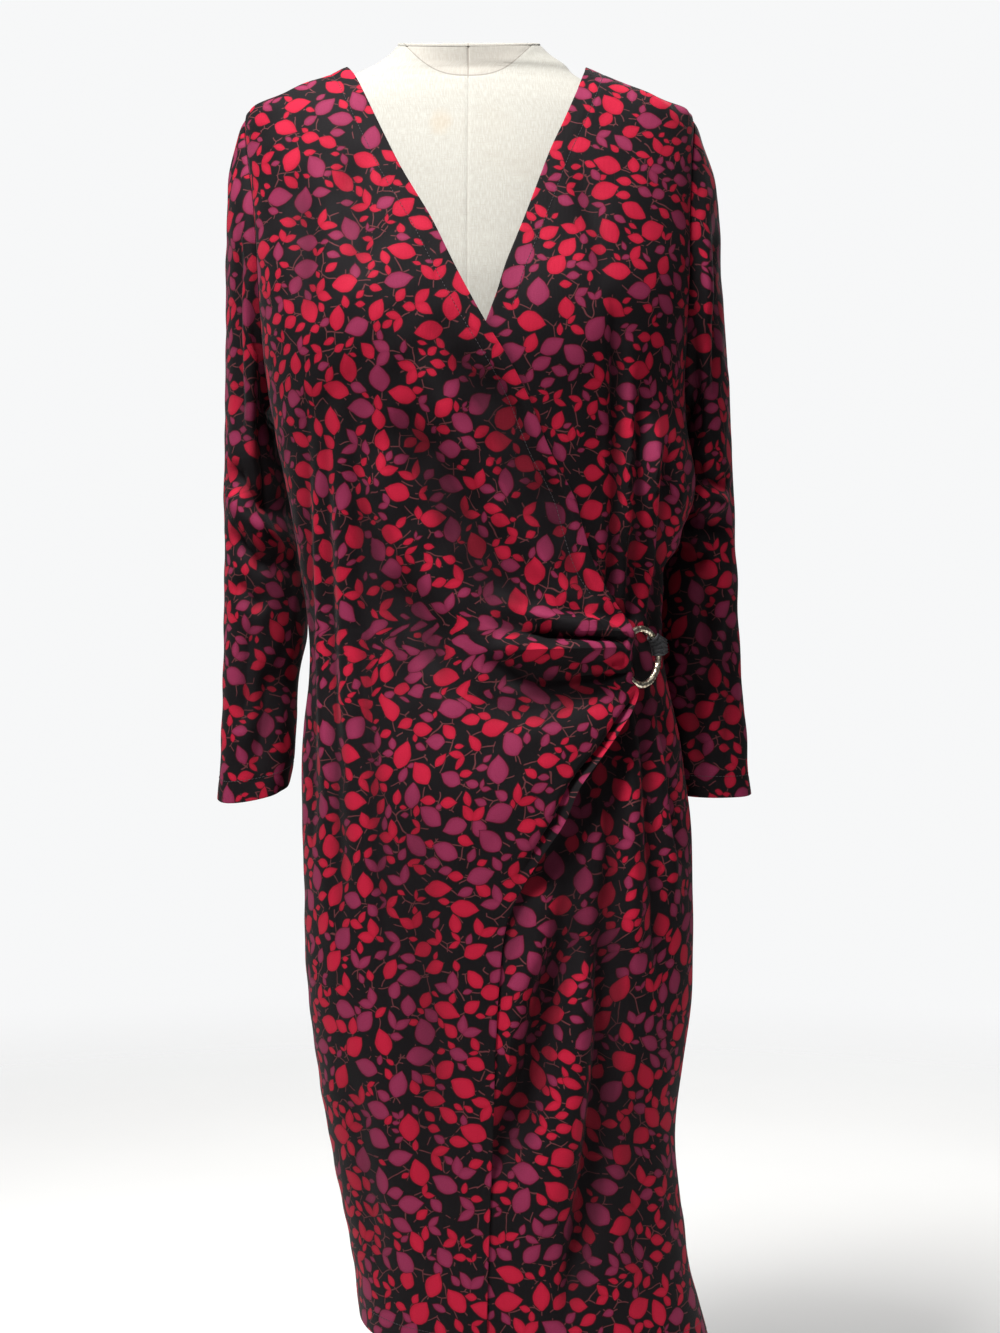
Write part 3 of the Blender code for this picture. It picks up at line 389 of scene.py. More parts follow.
def linenCloth(name):
    look, seam = linenLook, neckSeam
    shade = Shade(name)
    flat = shade.uv("cloth")
    u, v = shade.parts(flat)[:2]
    fine, long = look["slubFine"], look["slubLong"]
    slubWarp = shade.noise(shade.vector("MULTIPLY", flat, (fine, long, 1.0)), 1.0, 2.0)["Fac"]
    slubWeft = shade.noise(shade.vector("MULTIPLY", flat, (long, fine, 1.0)), 1.0, 2.0)["Fac"]
    warp = shade.calc("SINE", u * (2.0 * math.pi / look["warp"]))
    weft = shade.calc("SINE", v * (2.0 * math.pi / look["weft"]))
    weave = 0.5 + 0.25 * warp * weft + 0.25 * (slubWarp + slubWeft - 1.0)
    pale = shade.colour(shade.blendRange(slubWarp, 0.35, 0.7), look["thin"], look["thick"])
    pale = shade.colour(0.55 * shade.blendRange(slubWeft, 0.5, 0.75), pale, look["slub"])
    pale = shade.colour(shade.blendRange(weave, 0.55, 0.2) * 0.45, pale, look["between"])
    place = shade.place()
    aged = shade.blendRange(shade.noise(place, 9.0, 3.0)["Fac"], 0.52, 0.75)
    pale = shade.colour(0.12 * aged, pale, look["aged"])
    x, y, z = shade.parts(place)
    # old stain on the chest, then the dark line of the neck seam and of the centre seam
    spot = ((x - look["stainX"]) ** 2.0) * look["stainAcross"]
    spot = spot + ((z - look["stainZ"]) ** 2.0) * look["stainUp"]
    spot = spot + 0.9 * shade.noise(place, 60.0, 2.0)["Fac"]
    pale = shade.colour(0.30 * (1.0 - shade.blendRange(spot, 0.35, 1.1)), pale, look["stain"])
    rise = z - seam["low"] - seam["rise"] * (abs(x / seam["wide"]) ** seam["bend"])
    inFront = 1.0 - shade.blendRange(y, 0.010, 0.014)
    neckLine = (1.0 - shade.blendRange(abs(rise), 0.0003, 0.0010)) * inFront
    centre = (1.0 - shade.blendRange(abs(x), 0.0002, 0.0008)) * inFront
    centre = centre * (0.25 + 0.55 * shade.blendRange(rise, -0.0035, -0.0025))
    pale = shade.colour(shade.calc("MAXIMUM", 0.7 * neckLine, centre), pale, look["seam"])
    pale = shade.colour(0.22 * shade.blendRange(rise, 0.0, 0.0006) * inFront, pale, look["neck"])
    rough = 0.85 + 0.08 * slubWarp
    return shade.finish(
        pale, rough, weave, look["relief"], **{"Sheen Weight": 0.05, "Specular IOR Level": 0.2})


finishes = {
    "gold": {"worn": (0.70, 0.60, 0.42), "bright": (0.93, 0.87, 0.72), "dents": 330.0, "relief": 0.0006},
    "band": {"dark": (0.006, 0.006, 0.007), "light": (0.022, 0.022, 0.025), "rib": 0.0012, "relief": 0.00025},
    "steel": {"dark": (0.50, 0.50, 0.50), "light": (0.68, 0.68, 0.67), "relief": 0.00004},
    "paint": {"clean": (0.016, 0.016, 0.017), "dusty": (0.060, 0.058, 0.055), "relief": 0.00008},
    "thread": {"light": (0.030, 0.022, 0.028), "relief": 0.00005},
}


def lightGold(name):
    look = finishes["gold"]
    shade = Shade(name)
    place = shade.place()
    values = {"Vector": place, "Scale": look["dents"], "Randomness": 1.0}
    dents = shade.node("ShaderNodeTexVoronoi", {"feature": "F1"}, values)
    wear = shade.noise(place, 240.0, 3.0)["Fac"]
    tone = shade.colour(shade.blendRange(wear, 0.35, 0.7), look["worn"], look["bright"])
    return shade.finish(tone, 0.20 + 0.16 * wear, dents["Distance"], look["relief"], Metallic=1.0)


def blackBand(name):
    look = finishes["band"]
    shade = Shade(name)
    flat = shade.uv("cloth")
    ribs = shade.calc("SINE", shade.parts(flat)[1] * (2.0 * math.pi / look["rib"]))
    fuzz = shade.noise(flat, 1500.0, 2.0)["Fac"]
    tone = shade.colour(0.5 + 0.5 * ribs * fuzz, look["dark"], look["light"])
    return shade.finish(tone, 0.75 + 0.1 * fuzz, 0.5 + 0.5 * ribs, look["relief"], **{"Sheen Weight": 0.1})


def brushedSteel(name):
    look = finishes["steel"]
    shade = Shade(name)
    stretched = shade.vector("MULTIPLY", shade.place(), (60.0, 60.0, 2600.0))
    lines = shade.noise(stretched, 1.0, 3.0)["Fac"]
    tone = shade.colour(lines, look["dark"], look["light"])
    return shade.finish(tone, 0.26 + 0.16 * lines, lines, look["relief"], Metallic=1.0)


def satinBlack(name):
    look = finishes["paint"]
    shade = Shade(name)
    place = shade.place()
    peel = shade.noise(place, 420.0, 2.0)["Fac"]
    dust = shade.blendRange(shade.noise(place, 30.0, 4.0)["Fac"], 0.5, 0.8)
    tone = shade.colour(dust * 0.35, look["clean"], look["dusty"])
    return shade.finish(tone, 0.36 + 0.18 * dust, peel, look["relief"])


def sewingThread(name):
    look = finishes["thread"]
    shade = Shade(name)
    twist = shade.noise(shade.place(), 2500.0, 1.0)["Fac"]
    tone = shade.colour(twist, tuple(0.6 * part for part in look["light"]), look["light"])
    return shade.finish(tone, 0.6, twist, look["relief"])


def paleFloor(name):
    shade = Shade(name)
    place = shade.place()
    spots = shade.noise(place, 3.0, 4.0)["Fac"]
    tone = shade.colour(spots, tuple(0.97 * part for part in view["floor"]), view["floor"])
    x, y = shade.parts(place)[:2]
    away = shade.calc("SQRT", x * x + y * y)
    return shade.finish(tone, 0.7 + 0.1 * spots, Alpha=1.0 - shade.blendRange(away, *view["floorFades"]))


jerseyFace = jersey("jerseyFace", False)
jerseyWrong = jersey("jerseyWrong", True)
linen = linenCloth("linenCloth")
gold = lightGold("lightGold")
bandBlack = blackBand("blackBand")
steel = brushedSteel("brushedSteel")
paint = satinBlack("satinBlack")
darkThread = sewingThread("darkThread")
floorTone = paleFloor("paleFloor")
print("stage: materials")

# the dress: outline, edges and folds
dress = {
    "wall": 0.0014,
    "seamMeet": 0.00014,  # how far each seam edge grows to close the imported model's gap
    "seamValley": 0.0009,
    "edgeRound": 0.0008,
    "tipRight": 1.3905, "tipLeft": 1.3895,
    "neckRight": 1.4355, "neckLeft": 1.4350, "backNeckDip": 0.016,
    "underarm": 1.130,
    "hemRight": 0.300, "hemLeft": 0.277,
    "hemBand": 0.020, "neckBand": 0.017, "bandExtra": 0.0007,
    "armholeFront": 0.056, "armholeBack": 0.060,
    "lapDrop": 0.0026, "lapHollow": 0.0094, "edgeBand": 0.012,
    "seamWide": 0.0035, "seamEdge": 0.01,
    "stitchDent": 0.0004, "stitchWide": 0.0018,
    "gather": 0.0019,  # height of the small gathers that run into the ring
    "foldRoom": 0.0092, "skirtRoom": 0.012,  # how far folds may sink: over the form, and more below it
    "paintedShadeFull": 0.0085,  # depth at which the painted shade in a fold is at its fullest
    # painted shade given to the cloth, as a depth: beside the sleeve, the lap and the lip, and in the ring
    "overShade": 0.0050, "underShade": 0.0075, "sleeveShade": 0.0072,
    "lapShade": 0.006, "lipShade": 0.009, "ringShade": 0.010,
    "shadeLow": (0.880, 0.980), "shadeHigh": (1.260, 1.110),  # heights between which the sleeve's painted shade lies on the side
    "overFolds": 2.1, "underFolds": 1.8, "backFolds": 1.5, "sleeveFolds": 1.8, "elbowFolds": 1.3,
    # rows and columns of each panel's mesh
    "overRows": 300, "overColumns": 118, "rollSteps": 13,
    "underRows": 300, "underColumns": 88, "backRows": 300, "backColumns": 112,
    "sleeveRows": 172, "sleeveColumns": 132,
}
ringLook = {
    "radius": 0.0245, "bar": 0.0030, "x": 0.1435, "z": 0.8973, "lift": 0.0112,
    "turn": math.radians(48.0),
    "around": 168, "sides": 28,
    "dents": 150, "dent": 0.00028, "dentSize": (0.0013, 0.0021),
}
tabLook = {
    "thick": 0.0014, "turn": math.radians(26.0), "reach": math.radians(23.0), "end": 0.012,
    "endAngle": math.radians(86.0), "pleat": 0.0005, "across": 41, "hooked": 30, "straight": 26,
}
loopRadius = ringLook["bar"] + 0.0018  # of the cloth that goes round the bar

# (height, half-line) on each side, and depth front and back
rightSide = (
    (0.260, -0.0983), (0.306, -0.1005), (0.334, -0.1046), (0.366, -0.1080),
    (0.398, -0.1144), (0.444, -0.1240), (0.509, -0.1358), (0.550, -0.1412),
    (0.596, -0.1466), (0.628, -0.1490), (0.665, -0.1496), (0.711, -0.1509),
    (0.757, -0.1524), (0.800, -0.1526), (0.840, -0.1506), (0.877, -0.1470),
    (0.900, -0.1463), (0.932, -0.1481), (0.980, -0.1545), (1.040, -0.1635),
    (1.107, -0.1763), (1.170, -0.1860), (1.250, -0.1940), (1.300, -0.1985),
    (1.350, -0.2035), (1.378, -0.2045), (1.3905, -0.2025), (1.4030, -0.1775),
    (1.4140, -0.1540), (1.4245, -0.1325), (1.4355, -0.1105), (1.4500, -0.0820),
)
leftSide = (
    (0.260, 0.2240), (0.276, 0.2189), (0.306, 0.2106), (0.343, 0.2010),
    (0.380, 0.1972), (0.417, 0.1905), (0.444, 0.1877), (0.490, 0.1895),
    (0.527, 0.1951), (0.564, 0.2012), (0.619, 0.2040), (0.674, 0.2045),
    (0.740, 0.2035), (0.775, 0.1990), (0.820, 0.1928), (0.846, 0.1877),
    (0.873, 0.1821), (0.913, 0.1766), (0.964, 0.1752), (1.040, 0.1820),
    (1.100, 0.1905), (1.170, 0.1975), (1.250, 0.2035), (1.300, 0.2055),
    (1.350, 0.2065), (1.376, 0.2060), (1.3895, 0.2035), (1.4000, 0.1800),
    (1.4175, 0.1418), (1.4350, 0.1060), (1.4420, 0.0880), (1.4500, 0.0660),
)
frontDepth = (
    (0.260, 0.1130), (0.300, 0.1140), (0.400, 0.1150), (0.500, 0.1200),
    (0.650, 0.1260), (0.750, 0.1260), (0.850, 0.1180), (0.930, 0.1120),
    (1.000, 0.1180), (1.100, 0.1350), (1.170, 0.1450), (1.200, 0.1430),
    (1.250, 0.1330), (1.300, 0.1210), (1.350, 0.1060), (1.400, 0.0850),
    (1.420, 0.0690), (1.440, 0.0420), (1.450, 0.0300),
)
backDepth = (
    (0.260, 0.1080), (0.300, 0.1090), (0.400, 0.1120), (0.500, 0.1160),
    (0.650, 0.1210), (0.750, 0.1220), (0.850, 0.1160), (0.950, 0.1060),
    (1.050, 0.1120), (1.150, 0.1240), (1.250, 0.1270), (1.350, 0.1130),
    (1.400, 0.0960), (1.420, 0.0830), (1.440, 0.0640), (1.450, 0.0540),
)
squareness = (
    (0.260, 2.25), (0.900, 2.25), (1.000, 2.35), (1.100, 2.50), (1.170, 2.65),
    (1.250, 2.85), (1.350, 2.85), (1.400, 2.60), (1.440, 2.40), (1.450, 2.30),
)
# lap edge of the over front, shoulder to ring: edge height, edge x, side height, lift
overEdge = (
    (1.4355, -0.1105, 1.3905, 0.0), (1.4315, -0.1096, 1.385, 0.0),
    (1.4240, -0.1062, 1.378, 0.0), (1.4130, -0.1003, 1.365, 0.0),
    (1.3900, -0.0900, 1.338, 0.0), (1.3673, -0.0799, 1.304, 0.0),
    (1.3440, -0.0692, 1.270, 0.0), (1.3193, -0.0573, 1.234, 0.0),
    (1.2960, -0.0443, 1.199, 0.0), (1.2731, -0.0311, 1.164, 0.0),
    (1.2193, -0.0052, 1.130, 0.0), (1.1821, 0.0150, 1.104, 0.0),
    (1.1470, 0.0369, 1.079, 0.0), (1.1145, 0.0539, 1.054, 0.0),
    (1.0734, 0.0711, 1.029, 0.0005), (1.0320, 0.0929, 1.005, 0.0014),
    (1.0067, 0.1000, 0.985, 0.0028), (0.9812, 0.1070, 0.966, 0.0048),
    (0.9600, 0.1160, 0.948, 0.0075), (0.9420, 0.1250, 0.932, 0.0105),
    (0.9285, 0.1325, 0.922, 0.0135),
)
# place on the ring in degrees, how far the cloth goes round the bar, side height
ringStations = (
    (126.0, 0.00, 0.918), (139.0, 0.42, 0.910), (151.0, 0.74, 0.902), (163.0, 1.00, 0.894),
    (176.0, 1.00, 0.886), (189.0, 1.00, 0.878), (201.0, 0.74, 0.870), (213.0, 0.42, 0.862),
    (226.0, 0.00, 0.854),
)
# hanging lip: edge height, edge x, side height, lift, radius it rolls to, how far it rolls
lipStations = (
    (0.8660, 0.1290, 0.842, 0.0165, 0.0050, 0.25),
    (0.8490, 0.1235, 0.827, 0.0175, 0.0066, 0.70),
    (0.8300, 0.1120, 0.810, 0.0175, 0.0072, 1.00),
    (0.8080, 0.0965, 0.789, 0.0165, 0.0068, 1.00),
    (0.7820, 0.0780, 0.764, 0.0145, 0.0058, 1.00),
    (0.7560, 0.0670, 0.739, 0.0112, 0.0046, 0.90),
    (0.7280, 0.0480, 0.712, 0.0075, 0.0036, 0.65),
    (0.7000, 0.0275, 0.684, 0.0040, 0.0030, 0.30),
    (0.6680, 0.0125, 0.653, 0.0012, 0.0026, 0.0),
    (0.6200, 0.0075, 0.606, 0.0, 0.0026, 0.0),
    (0.5600, 0.0055, 0.550, 0.0, 0.0026, 0.0),
    (0.4950, 0.0042, 0.490, 0.0, 0.0026, 0.0),
    (0.4250, 0.0030, 0.425, 0.0, 0.0026, 0.0),
    (0.3550, 0.0018, 0.360, 0.0, 0.0026, 0.0),
    (0.2905, 0.0010, 0.300, 0.0, 0.0026, 0.0),
)
# the lap edge as one line of (height, x), from the V down to the hem
lapLine = (
    (1.2731, -0.0311), (1.2193, -0.0052), (1.1821, 0.0150), (1.1470, 0.0369), (1.1145, 0.0539),
    (1.0734, 0.0711), (1.0320, 0.0929), (0.9812, 0.1070), (0.9380, 0.1270), (0.9100, 0.1400),
    (0.8700, 0.1400), (0.8563, 0.1366), (0.8357, 0.1238), (0.8188, 0.1095), (0.7968, 0.0971),
    (0.7816, 0.0850), (0.7580, 0.0740), (0.7292, 0.0555), (0.7037, 0.0395), (0.6858, 0.0295),
    (0.6560, 0.0230), (0.6048, 0.0193), (0.5185, 0.0165), (0.4316, 0.0148), (0.2600, 0.0130),
)
# edge of the under front: edge height, edge x, side height
underEdge = (
    (1.4350, 0.1060, 1.3895), (1.4305, 0.1058, 1.384), (1.4230, 0.1048, 1.377),
    (1.4100, 0.1012, 1.364), (1.3878, 0.0940, 1.337),
    (1.3605, 0.0830, 1.304), (1.3335, 0.0715, 1.270), (1.3030, 0.0605, 1.235),
    (1.2731, 0.0498, 1.200), (1.2505, 0.0412, 1.165), (1.2280, 0.0327, 1.132),
    (1.2020, 0.0245, 1.102), (1.1740, 0.0140, 1.076), (1.1400, 0.0020, 1.050),
    (1.1000, -0.0090, 1.026), (1.0550, -0.0160, 1.002), (1.0150, -0.0200, 0.978),
    (0.9780, -0.0210, 0.954), (0.9400, -0.0200, 0.930), (0.9080, -0.0180, 0.906),
    (0.8780, -0.0160, 0.880), (0.8480, -0.0150, 0.852), (0.8180, -0.0160, 0.822),
    (0.7880, -0.0190, 0.790), (0.7560, -0.0230, 0.756), (0.7200, -0.0280, 0.720),
    (0.6800, -0.0340, 0.680), (0.6350, -0.0390, 0.635), (0.5850, -0.0420, 0.585),
    (0.5300, -0.0430, 0.528), (0.4700, -0.0430, 0.465), (0.4100, -0.0430, 0.400),
    (0.3500, -0.0430, 0.336), (0.2930, -0.0430, 0.277),
)
# sleeves: outer line x and height, inner line x and height, middle y, half depth, front tilt
sleeveRight = (
    (-0.2025, 1.3905, -0.1850, 1.1300, 0.002, 0.058, 0.0),
    (-0.2092, 1.3680, -0.1860, 1.1240, 0.006, 0.062, 0.0),
    (-0.2196, 1.3350, -0.1830, 1.1170, 0.012, 0.064, 0.0),
    (-0.2226, 1.2900, -0.1795, 1.1080, 0.018, 0.065, 0.0),
    (-0.2246, 1.2400, -0.1770, 1.0960, 0.024, 0.066, 0.0),
    (-0.2258, 1.1850, -0.1738, 1.0800, 0.030, 0.066, 0.0),
    (-0.2279, 1.1280, -0.1700, 1.0580, 0.035, 0.065, 0.0),
    (-0.2298, 1.0720, -0.1650, 1.0280, 0.038, 0.063, 0.0),
    (-0.2306, 1.0200, -0.1597, 0.9920, 0.040, 0.061, 0.001),
    (-0.2306, 0.9720, -0.1555, 0.9540, 0.040, 0.058, 0.002),
    (-0.2302, 0.9260, -0.1560, 0.9160, 0.039, 0.056, 0.003),
    (-0.2299, 0.8820, -0.1630, 0.8780, 0.037, 0.053, 0.005),
    (-0.2304, 0.8420, -0.1640, 0.8420, 0.035, 0.051, 0.007),
    (-0.2310, 0.8050, -0.1650, 0.8110, 0.034, 0.049, 0.009),
    (-0.2321, 0.7700, -0.1690, 0.7820, 0.033, 0.047, 0.011),
)
sleeveLeft = (
    (0.2035, 1.3895, 0.1945, 1.1300, 0.004, 0.058, 0.0),
    (0.2110, 1.3650, 0.2000, 1.1240, 0.009, 0.062, 0.0),
    (0.2250, 1.3360, 0.2000, 1.1160, 0.015, 0.064, 0.0),
    (0.2318, 1.2950, 0.1990, 1.1060, 0.022, 0.065, 0.0),
    (0.2360, 1.2400, 0.1970, 1.0930, 0.029, 0.066, 0.0),
    (0.2402, 1.1850, 0.1940, 1.0760, 0.036, 0.066, 0.0),
    (0.2442, 1.1280, 0.1900, 1.0530, 0.043, 0.065, 0.0),
    (0.2480, 1.0720, 0.1860, 1.0230, 0.049, 0.063, 0.0),
    (0.2512, 1.0200, 0.1805, 0.9870, 0.054, 0.060, 0.0),
    (0.2540, 0.9720, 0.1765, 0.9500, 0.057, 0.058, 0.0),
    (0.2562, 0.9260, 0.1760, 0.9120, 0.059, 0.055, 0.0),
    (0.2582, 0.8820, 0.1785, 0.8740, 0.060, 0.053, 0.0),
    (0.2600, 0.8420, 0.1845, 0.8400, 0.059, 0.050, 0.001),
    (0.2615, 0.8050, 0.1912, 0.8070, 0.058, 0.048, 0.002),
    (0.2628, 0.7695, 0.1976, 0.7700, 0.057, 0.046, 0.003),
)

# Folds pressed into the cloth, in millimetres: height (+ ridge, - hollow), half width, sharpness
# 0 to 1, how much wider its right side is, how much is kept at its first and last end, and its
# (x, z) line
overFolds = (
    (-7.5, 13, 0.35, 0.25, 0.2, 0.6, ((-22, 1172), (3, 1131), (28, 1098), (71, 1023), (107, 955))),
    (4.6, 12, 0, 0, 0, 0.5, ((-45, 1160), (-10, 1090), (30, 1020), (75, 960))),
    (-7, 14, 0.4, 0.3, 0, 0.3, ((-66, 1112), (-48, 1075), (-23, 1031), (11, 963), (30, 925))),
    (-5, 10, 0.3, 0.2, 0, 0.4, ((-53, 1112), (-31, 1056), (-10, 1010), (20, 962), (55, 938))),
    (-5, 14, 0.3, 0.2, 0, 0.2, ((-66, 975), (-58, 955), (-36, 912), (-16, 868))),
    (-3.5, 9, 0.3, 0, 0, 0.4, ((20, 1150), (48, 1095), (74, 1048), (98, 992))),
    (5.5, 9, 0.2, 0, 0, 0.8, ((40, 940), (57, 934), (70, 928), (89, 923), (126, 920))),
    (-6, 7, 0.4, 0, 0.1, 0.9, ((20, 926), (50, 918), (80, 914), (128, 913))),
    (7, 9, 0.3, 0, 0.2, 0.8, ((18, 903), (40, 904), (61, 904), (86, 906), (128, 908))),
    (-7.5, 11, 0.35, 0, 0.1, 0.4, ((10, 899), (31, 888), (52.5, 875), (90, 870), (128, 882))),
    (-3, 12, 0.1, 0, 0, 0.3, ((0, 868), (30, 855), (65, 850), (105, 862))),
    (-4.6, 8.5, 0.5, 0.3, 0.2, 0, ((-140, 1119), (-143, 1020), (-144, 931), (-140.5, 770), (-138, 690))),
    (-4.4, 8.5, 0.5, 0.3, 0.2, 0, ((-122, 1117), (-124, 1020), (-123, 930), (-116, 720), (-110, 600))),
    (-4, 9, 0.5, 0.3, 0.2, 0, ((-99, 1132), (-96, 1016), (-91, 860), (-75, 688), (-66, 560))),
    (2.6, 9, 0, 0, 0, 0, ((-132, 1100), (-134, 950), (-129, 760))),
    (2.4, 11, 0, 0, 0, 0, ((-111, 1110), (-110, 960), (-102, 780))),
    (4.2, 13, 0, 0, 0, 0.2, ((-86, 1085), (-60, 1010), (-22, 945), (10, 912))),
    (-3, 11, 0.2, 0.2, 0, 0.2, ((-94, 1040), (-80, 980), (-62, 900), (-50, 830))),
    (-2.8, 10, 0.2, 0.2, 0, 0.4, ((-4, 1120), (30, 1050), (62, 990), (100, 945))),
    (-2.6, 18, 0.1, 0, 0, 0, ((-55, 830), (-40, 700), (-30, 540), (-28, 400))),
    (-2.2, 16, 0.1, 0, 0, 0, ((-110, 560), (-92, 450), (-80, 330))),
    (-3, 14, 0.1, 0, 0, 0, ((-150, 1330), (-140, 1250), (-138, 1170))),
    (-2.2, 12, 0.1, 0, 0, 0, ((-105, 1350), (-100, 1280), (-85, 1200))),
)
underFolds = (
    (-8.5, 7.5, 0.4, 0.35, 0.1, 0.9, ((124, 1200), (128, 1134), (129, 1033), (128, 975), (127, 921))),
    (5, 7, 0.1, 0, 0.2, 0.6, ((140, 1160), (141, 1077), (139, 1000), (138, 950))),
    (-8, 8, 0.4, 0, 0, 0.7, ((146, 1150), (150, 1077), (148, 1000), (147, 935))),
    (6, 7.5, 0.1, 0, 0, 0.5, ((160, 1120), (162, 1047), (160, 980), (156, 930))),
    (-8, 8.5, 0.3, 0, 0, 0.6, ((174, 1090), (171, 1000), (166, 935))),
    (5, 9, 0.1, 0, 0, 0.3, ((182, 1060), (180, 990), (174, 930))),
    (-9, 8.5, 0.5, 0.45, 0.7, 0, ((130, 850), (124.5, 803), (123, 705), (120, 654), (117, 540))),
    (4.5, 9, 0.1, 0, 0.3, 0, ((142, 840), (142, 730), (144, 600))),
    (-6.5, 7.5, 0.5, 0.2, 0.5, 0, ((153, 870), (156.5, 825), (161, 738), (165.5, 685), (169, 597))),
    (3.5, 8, 0.1, 0, 0.3, 0, ((170, 850), (175, 760), (181, 660))),
    (-4.5, 7, 0.3, 0, 0.4, 0, ((168, 880), (178, 800), (188, 700))),
    (-14.5, 16, 0.35, 0.45, 0.3, 0,
     ((88, 705), (83, 676), (80, 647), (67, 617), (54, 556), (46, 527), (37, 501), (28, 475), (20, 430))),
    (4.5, 12, 0, 0, 0.3, 0, ((64, 676), (60, 647), (46, 610), (36, 556), (30, 520))),
    (-12.5, 13, 0.35, 0.4, 0.3, 0,
     ((118, 690), (117, 645), (117, 568), (113, 523), (106, 464), (96, 404), (89, 361), (82, 300))),
    (4, 12, 0, 0, 0.3, 0, ((98, 680), (97, 600), (94, 523), (86, 460), (76, 400))),
    (-8, 13, 0.2, 0.3, 0.4, 0,
     ((138, 868), (133, 842), (121, 818), (108, 793), (93, 768), (81, 742), (64, 712), (48, 690))),
    (3, 16, 0, 0, 0, 0, ((98, 660), (86, 560), (70, 460), (60, 360))),
    (-2.8, 14, 0.1, 0, 0, 0, ((150, 560), (146, 470), (150, 380), (160, 300))),
    (-2.2, 10, 0.1, 0, 0, 0, ((92, 1330), (110, 1260), (118, 1200))),
)
backFolds = (
    (-5.5, 12, 0.3, 0, 0, 0, ((-75, 1130), (-55, 1020), (-50, 930), (-58, 840))),
    (-5, 11, 0.3, 0, 0, 0, ((0, 1110), (-4, 1000), (2, 915), (-6, 800))),
    (-5.5, 12, 0.3, 0, 0, 0, ((82, 1140), (66, 1030), (62, 930), (72, 820))),
    (3.5, 14, 0, 0, 0, 0, ((-30, 1060), (-26, 940), (-34, 850))),
    (3.5, 14, 0, 0, 0, 0, ((36, 1060), (34, 940), (38, 850))),
    (-4, 10, 0.3, 0, 0, 0, ((-120, 1060), (-108, 960), (-106, 880))),
    (-4.5, 10, 0.3, 0, 0, 0.2, ((128, 1080), (122, 980), (130, 880), (140, 790))),
    (5, 20, 0, 0, 0, 0, ((-110, 965), (-30, 952), (50, 955), (130, 962))),
    (-4, 16, 0.1, 0, 0, 0, ((-115, 990), (-30, 982), (55, 985), (135, 992))),
    (-5, 22, 0.1, 0, 0, 0.5, ((-60, 700), (-52, 560), (-40, 420), (-30, 300))),
    (-5, 24, 0.1, 0, 0, 0.5, ((52, 720), (60, 560), (74, 420), (86, 300))),
    (-4.2, 20, 0.1, 0, 0, 0.4, ((130, 700), (136, 540), (140, 400), (160, 300))),
    (-3, 16, 0.1, 0, 0, 0, ((-120, 1340), (-88, 1270), (-70, 1190))),
    (-3, 16, 0.1, 0, 0, 0, ((122, 1345), (92, 1270), (76, 1190))),
)
sleeveRightFront = (
    (-4.5, 8, 0.4, 0.3, 0, 0, ((-204, 1300), (-207.5, 1210), (-208.5, 1120), (-206, 1060))),
    (3.5, 9, 0.1, 0, 0, 0, ((-196, 1270), (-197, 1180), (-194, 1090))),
    (-5, 8, 0.4, 0, 0.3, 0, ((-184, 1180), (-186, 1110), (-181, 1050), (-172, 990))),
    (-5.5, 9, 0.4, 0.2, 0, 0.2, ((-219, 1080), (-205, 1050), (-188, 1034), (-172, 1030))),
    (4, 9, 0.1, 0, 0, 0.1, ((-221, 1058), (-204, 1026), (-186, 1012), (-170, 1008))),
    (-5, 9, 0.4, 0, 0, 0.2, ((-222, 1020), (-206, 998), (-188, 984), (-168, 978))),
    (-4, 9, 0.3, 0, 0, 0, ((-215, 972), (-200, 952), (-182, 940))),
    (-4, 9, 0.3, 0, 0, 0, ((-200, 940), (-204, 880), (-210, 820))),
    (-3.5, 10, 0.3, 0, 0, 0.4, ((-180, 900), (-186, 850), (-196, 785))),
)
sleeveLeftFront = (
    (-4.5, 7.5, 0.5, 0.2, 0.2, 0, ((223.5, 1300), (224.5, 1240), (224, 1180), (222, 1120))),
    (3.5, 9, 0.1, 0, 0, 0, ((212, 1290), (211, 1210), (212, 1130))),
    (-4.5, 8, 0.4, 0, 0.3, 0, ((200, 1200), (205, 1140), (214, 1085))),
    (-5.5, 9, 0.4, 0, 0.2, 0, ((198, 1085), (212, 1063), (228, 1058), (243, 1066))),
    (4, 9, 0.1, 0, 0.2, 0, ((193, 1064), (208, 1044), (226, 1040), (244, 1046))),
    (-5, 9, 0.4, 0, 0.2, 0, ((190, 1046), (206, 1024), (224, 1019), (244, 1020))),
    (-4.5, 9, 0.3, 0, 0.2, 0, ((188, 1008), (204, 990), (222, 984))),
    (-4, 10, 0.3, 0, 0, 0, ((216, 990), (220, 920), (226, 850))),
    (-3.5, 10, 0.3, 0, 0, 0.4, ((240, 960), (243, 880), (240, 775))),
    (-3, 10, 0.3, 0, 0, 0.4, ((204, 900), (210, 840), (216, 775))),
)
sleeveBack = (  # x is measured from the middle line of each sleeve
    (-4.5, 10, 0.3, 0, 0, 0, ((-16, 1100), (0, 1078), (18, 1086))),
    (-4.5, 10, 0.3, 0, 0, 0, ((-20, 1052), (-2, 1034), (18, 1044))),
    (-4, 10, 0.3, 0, 0, 0, ((-18, 1006), (0, 992), (16, 1000))),
    (-3.5, 12, 0.2, 0, 0, 0, ((-4, 1280), (2, 1200), (-3, 1130))),
    (-3.5, 12, 0.2, 0, 0, 0.3, ((6, 960), (0, 880), (8, 780))),
)


def between(t, step, start, end, startSlope, endSlope):  # cubic from one value and slope to the next
    a = (1.0 + 2.0 * t) * (1.0 - t) ** 2
    b = t * (1.0 - t) ** 2 * step
    c = t * t * (3.0 - 2.0 * t)
    d = t * t * (t - 1.0) * step
    return a * start + b * startSlope + c * end + d * endSlope


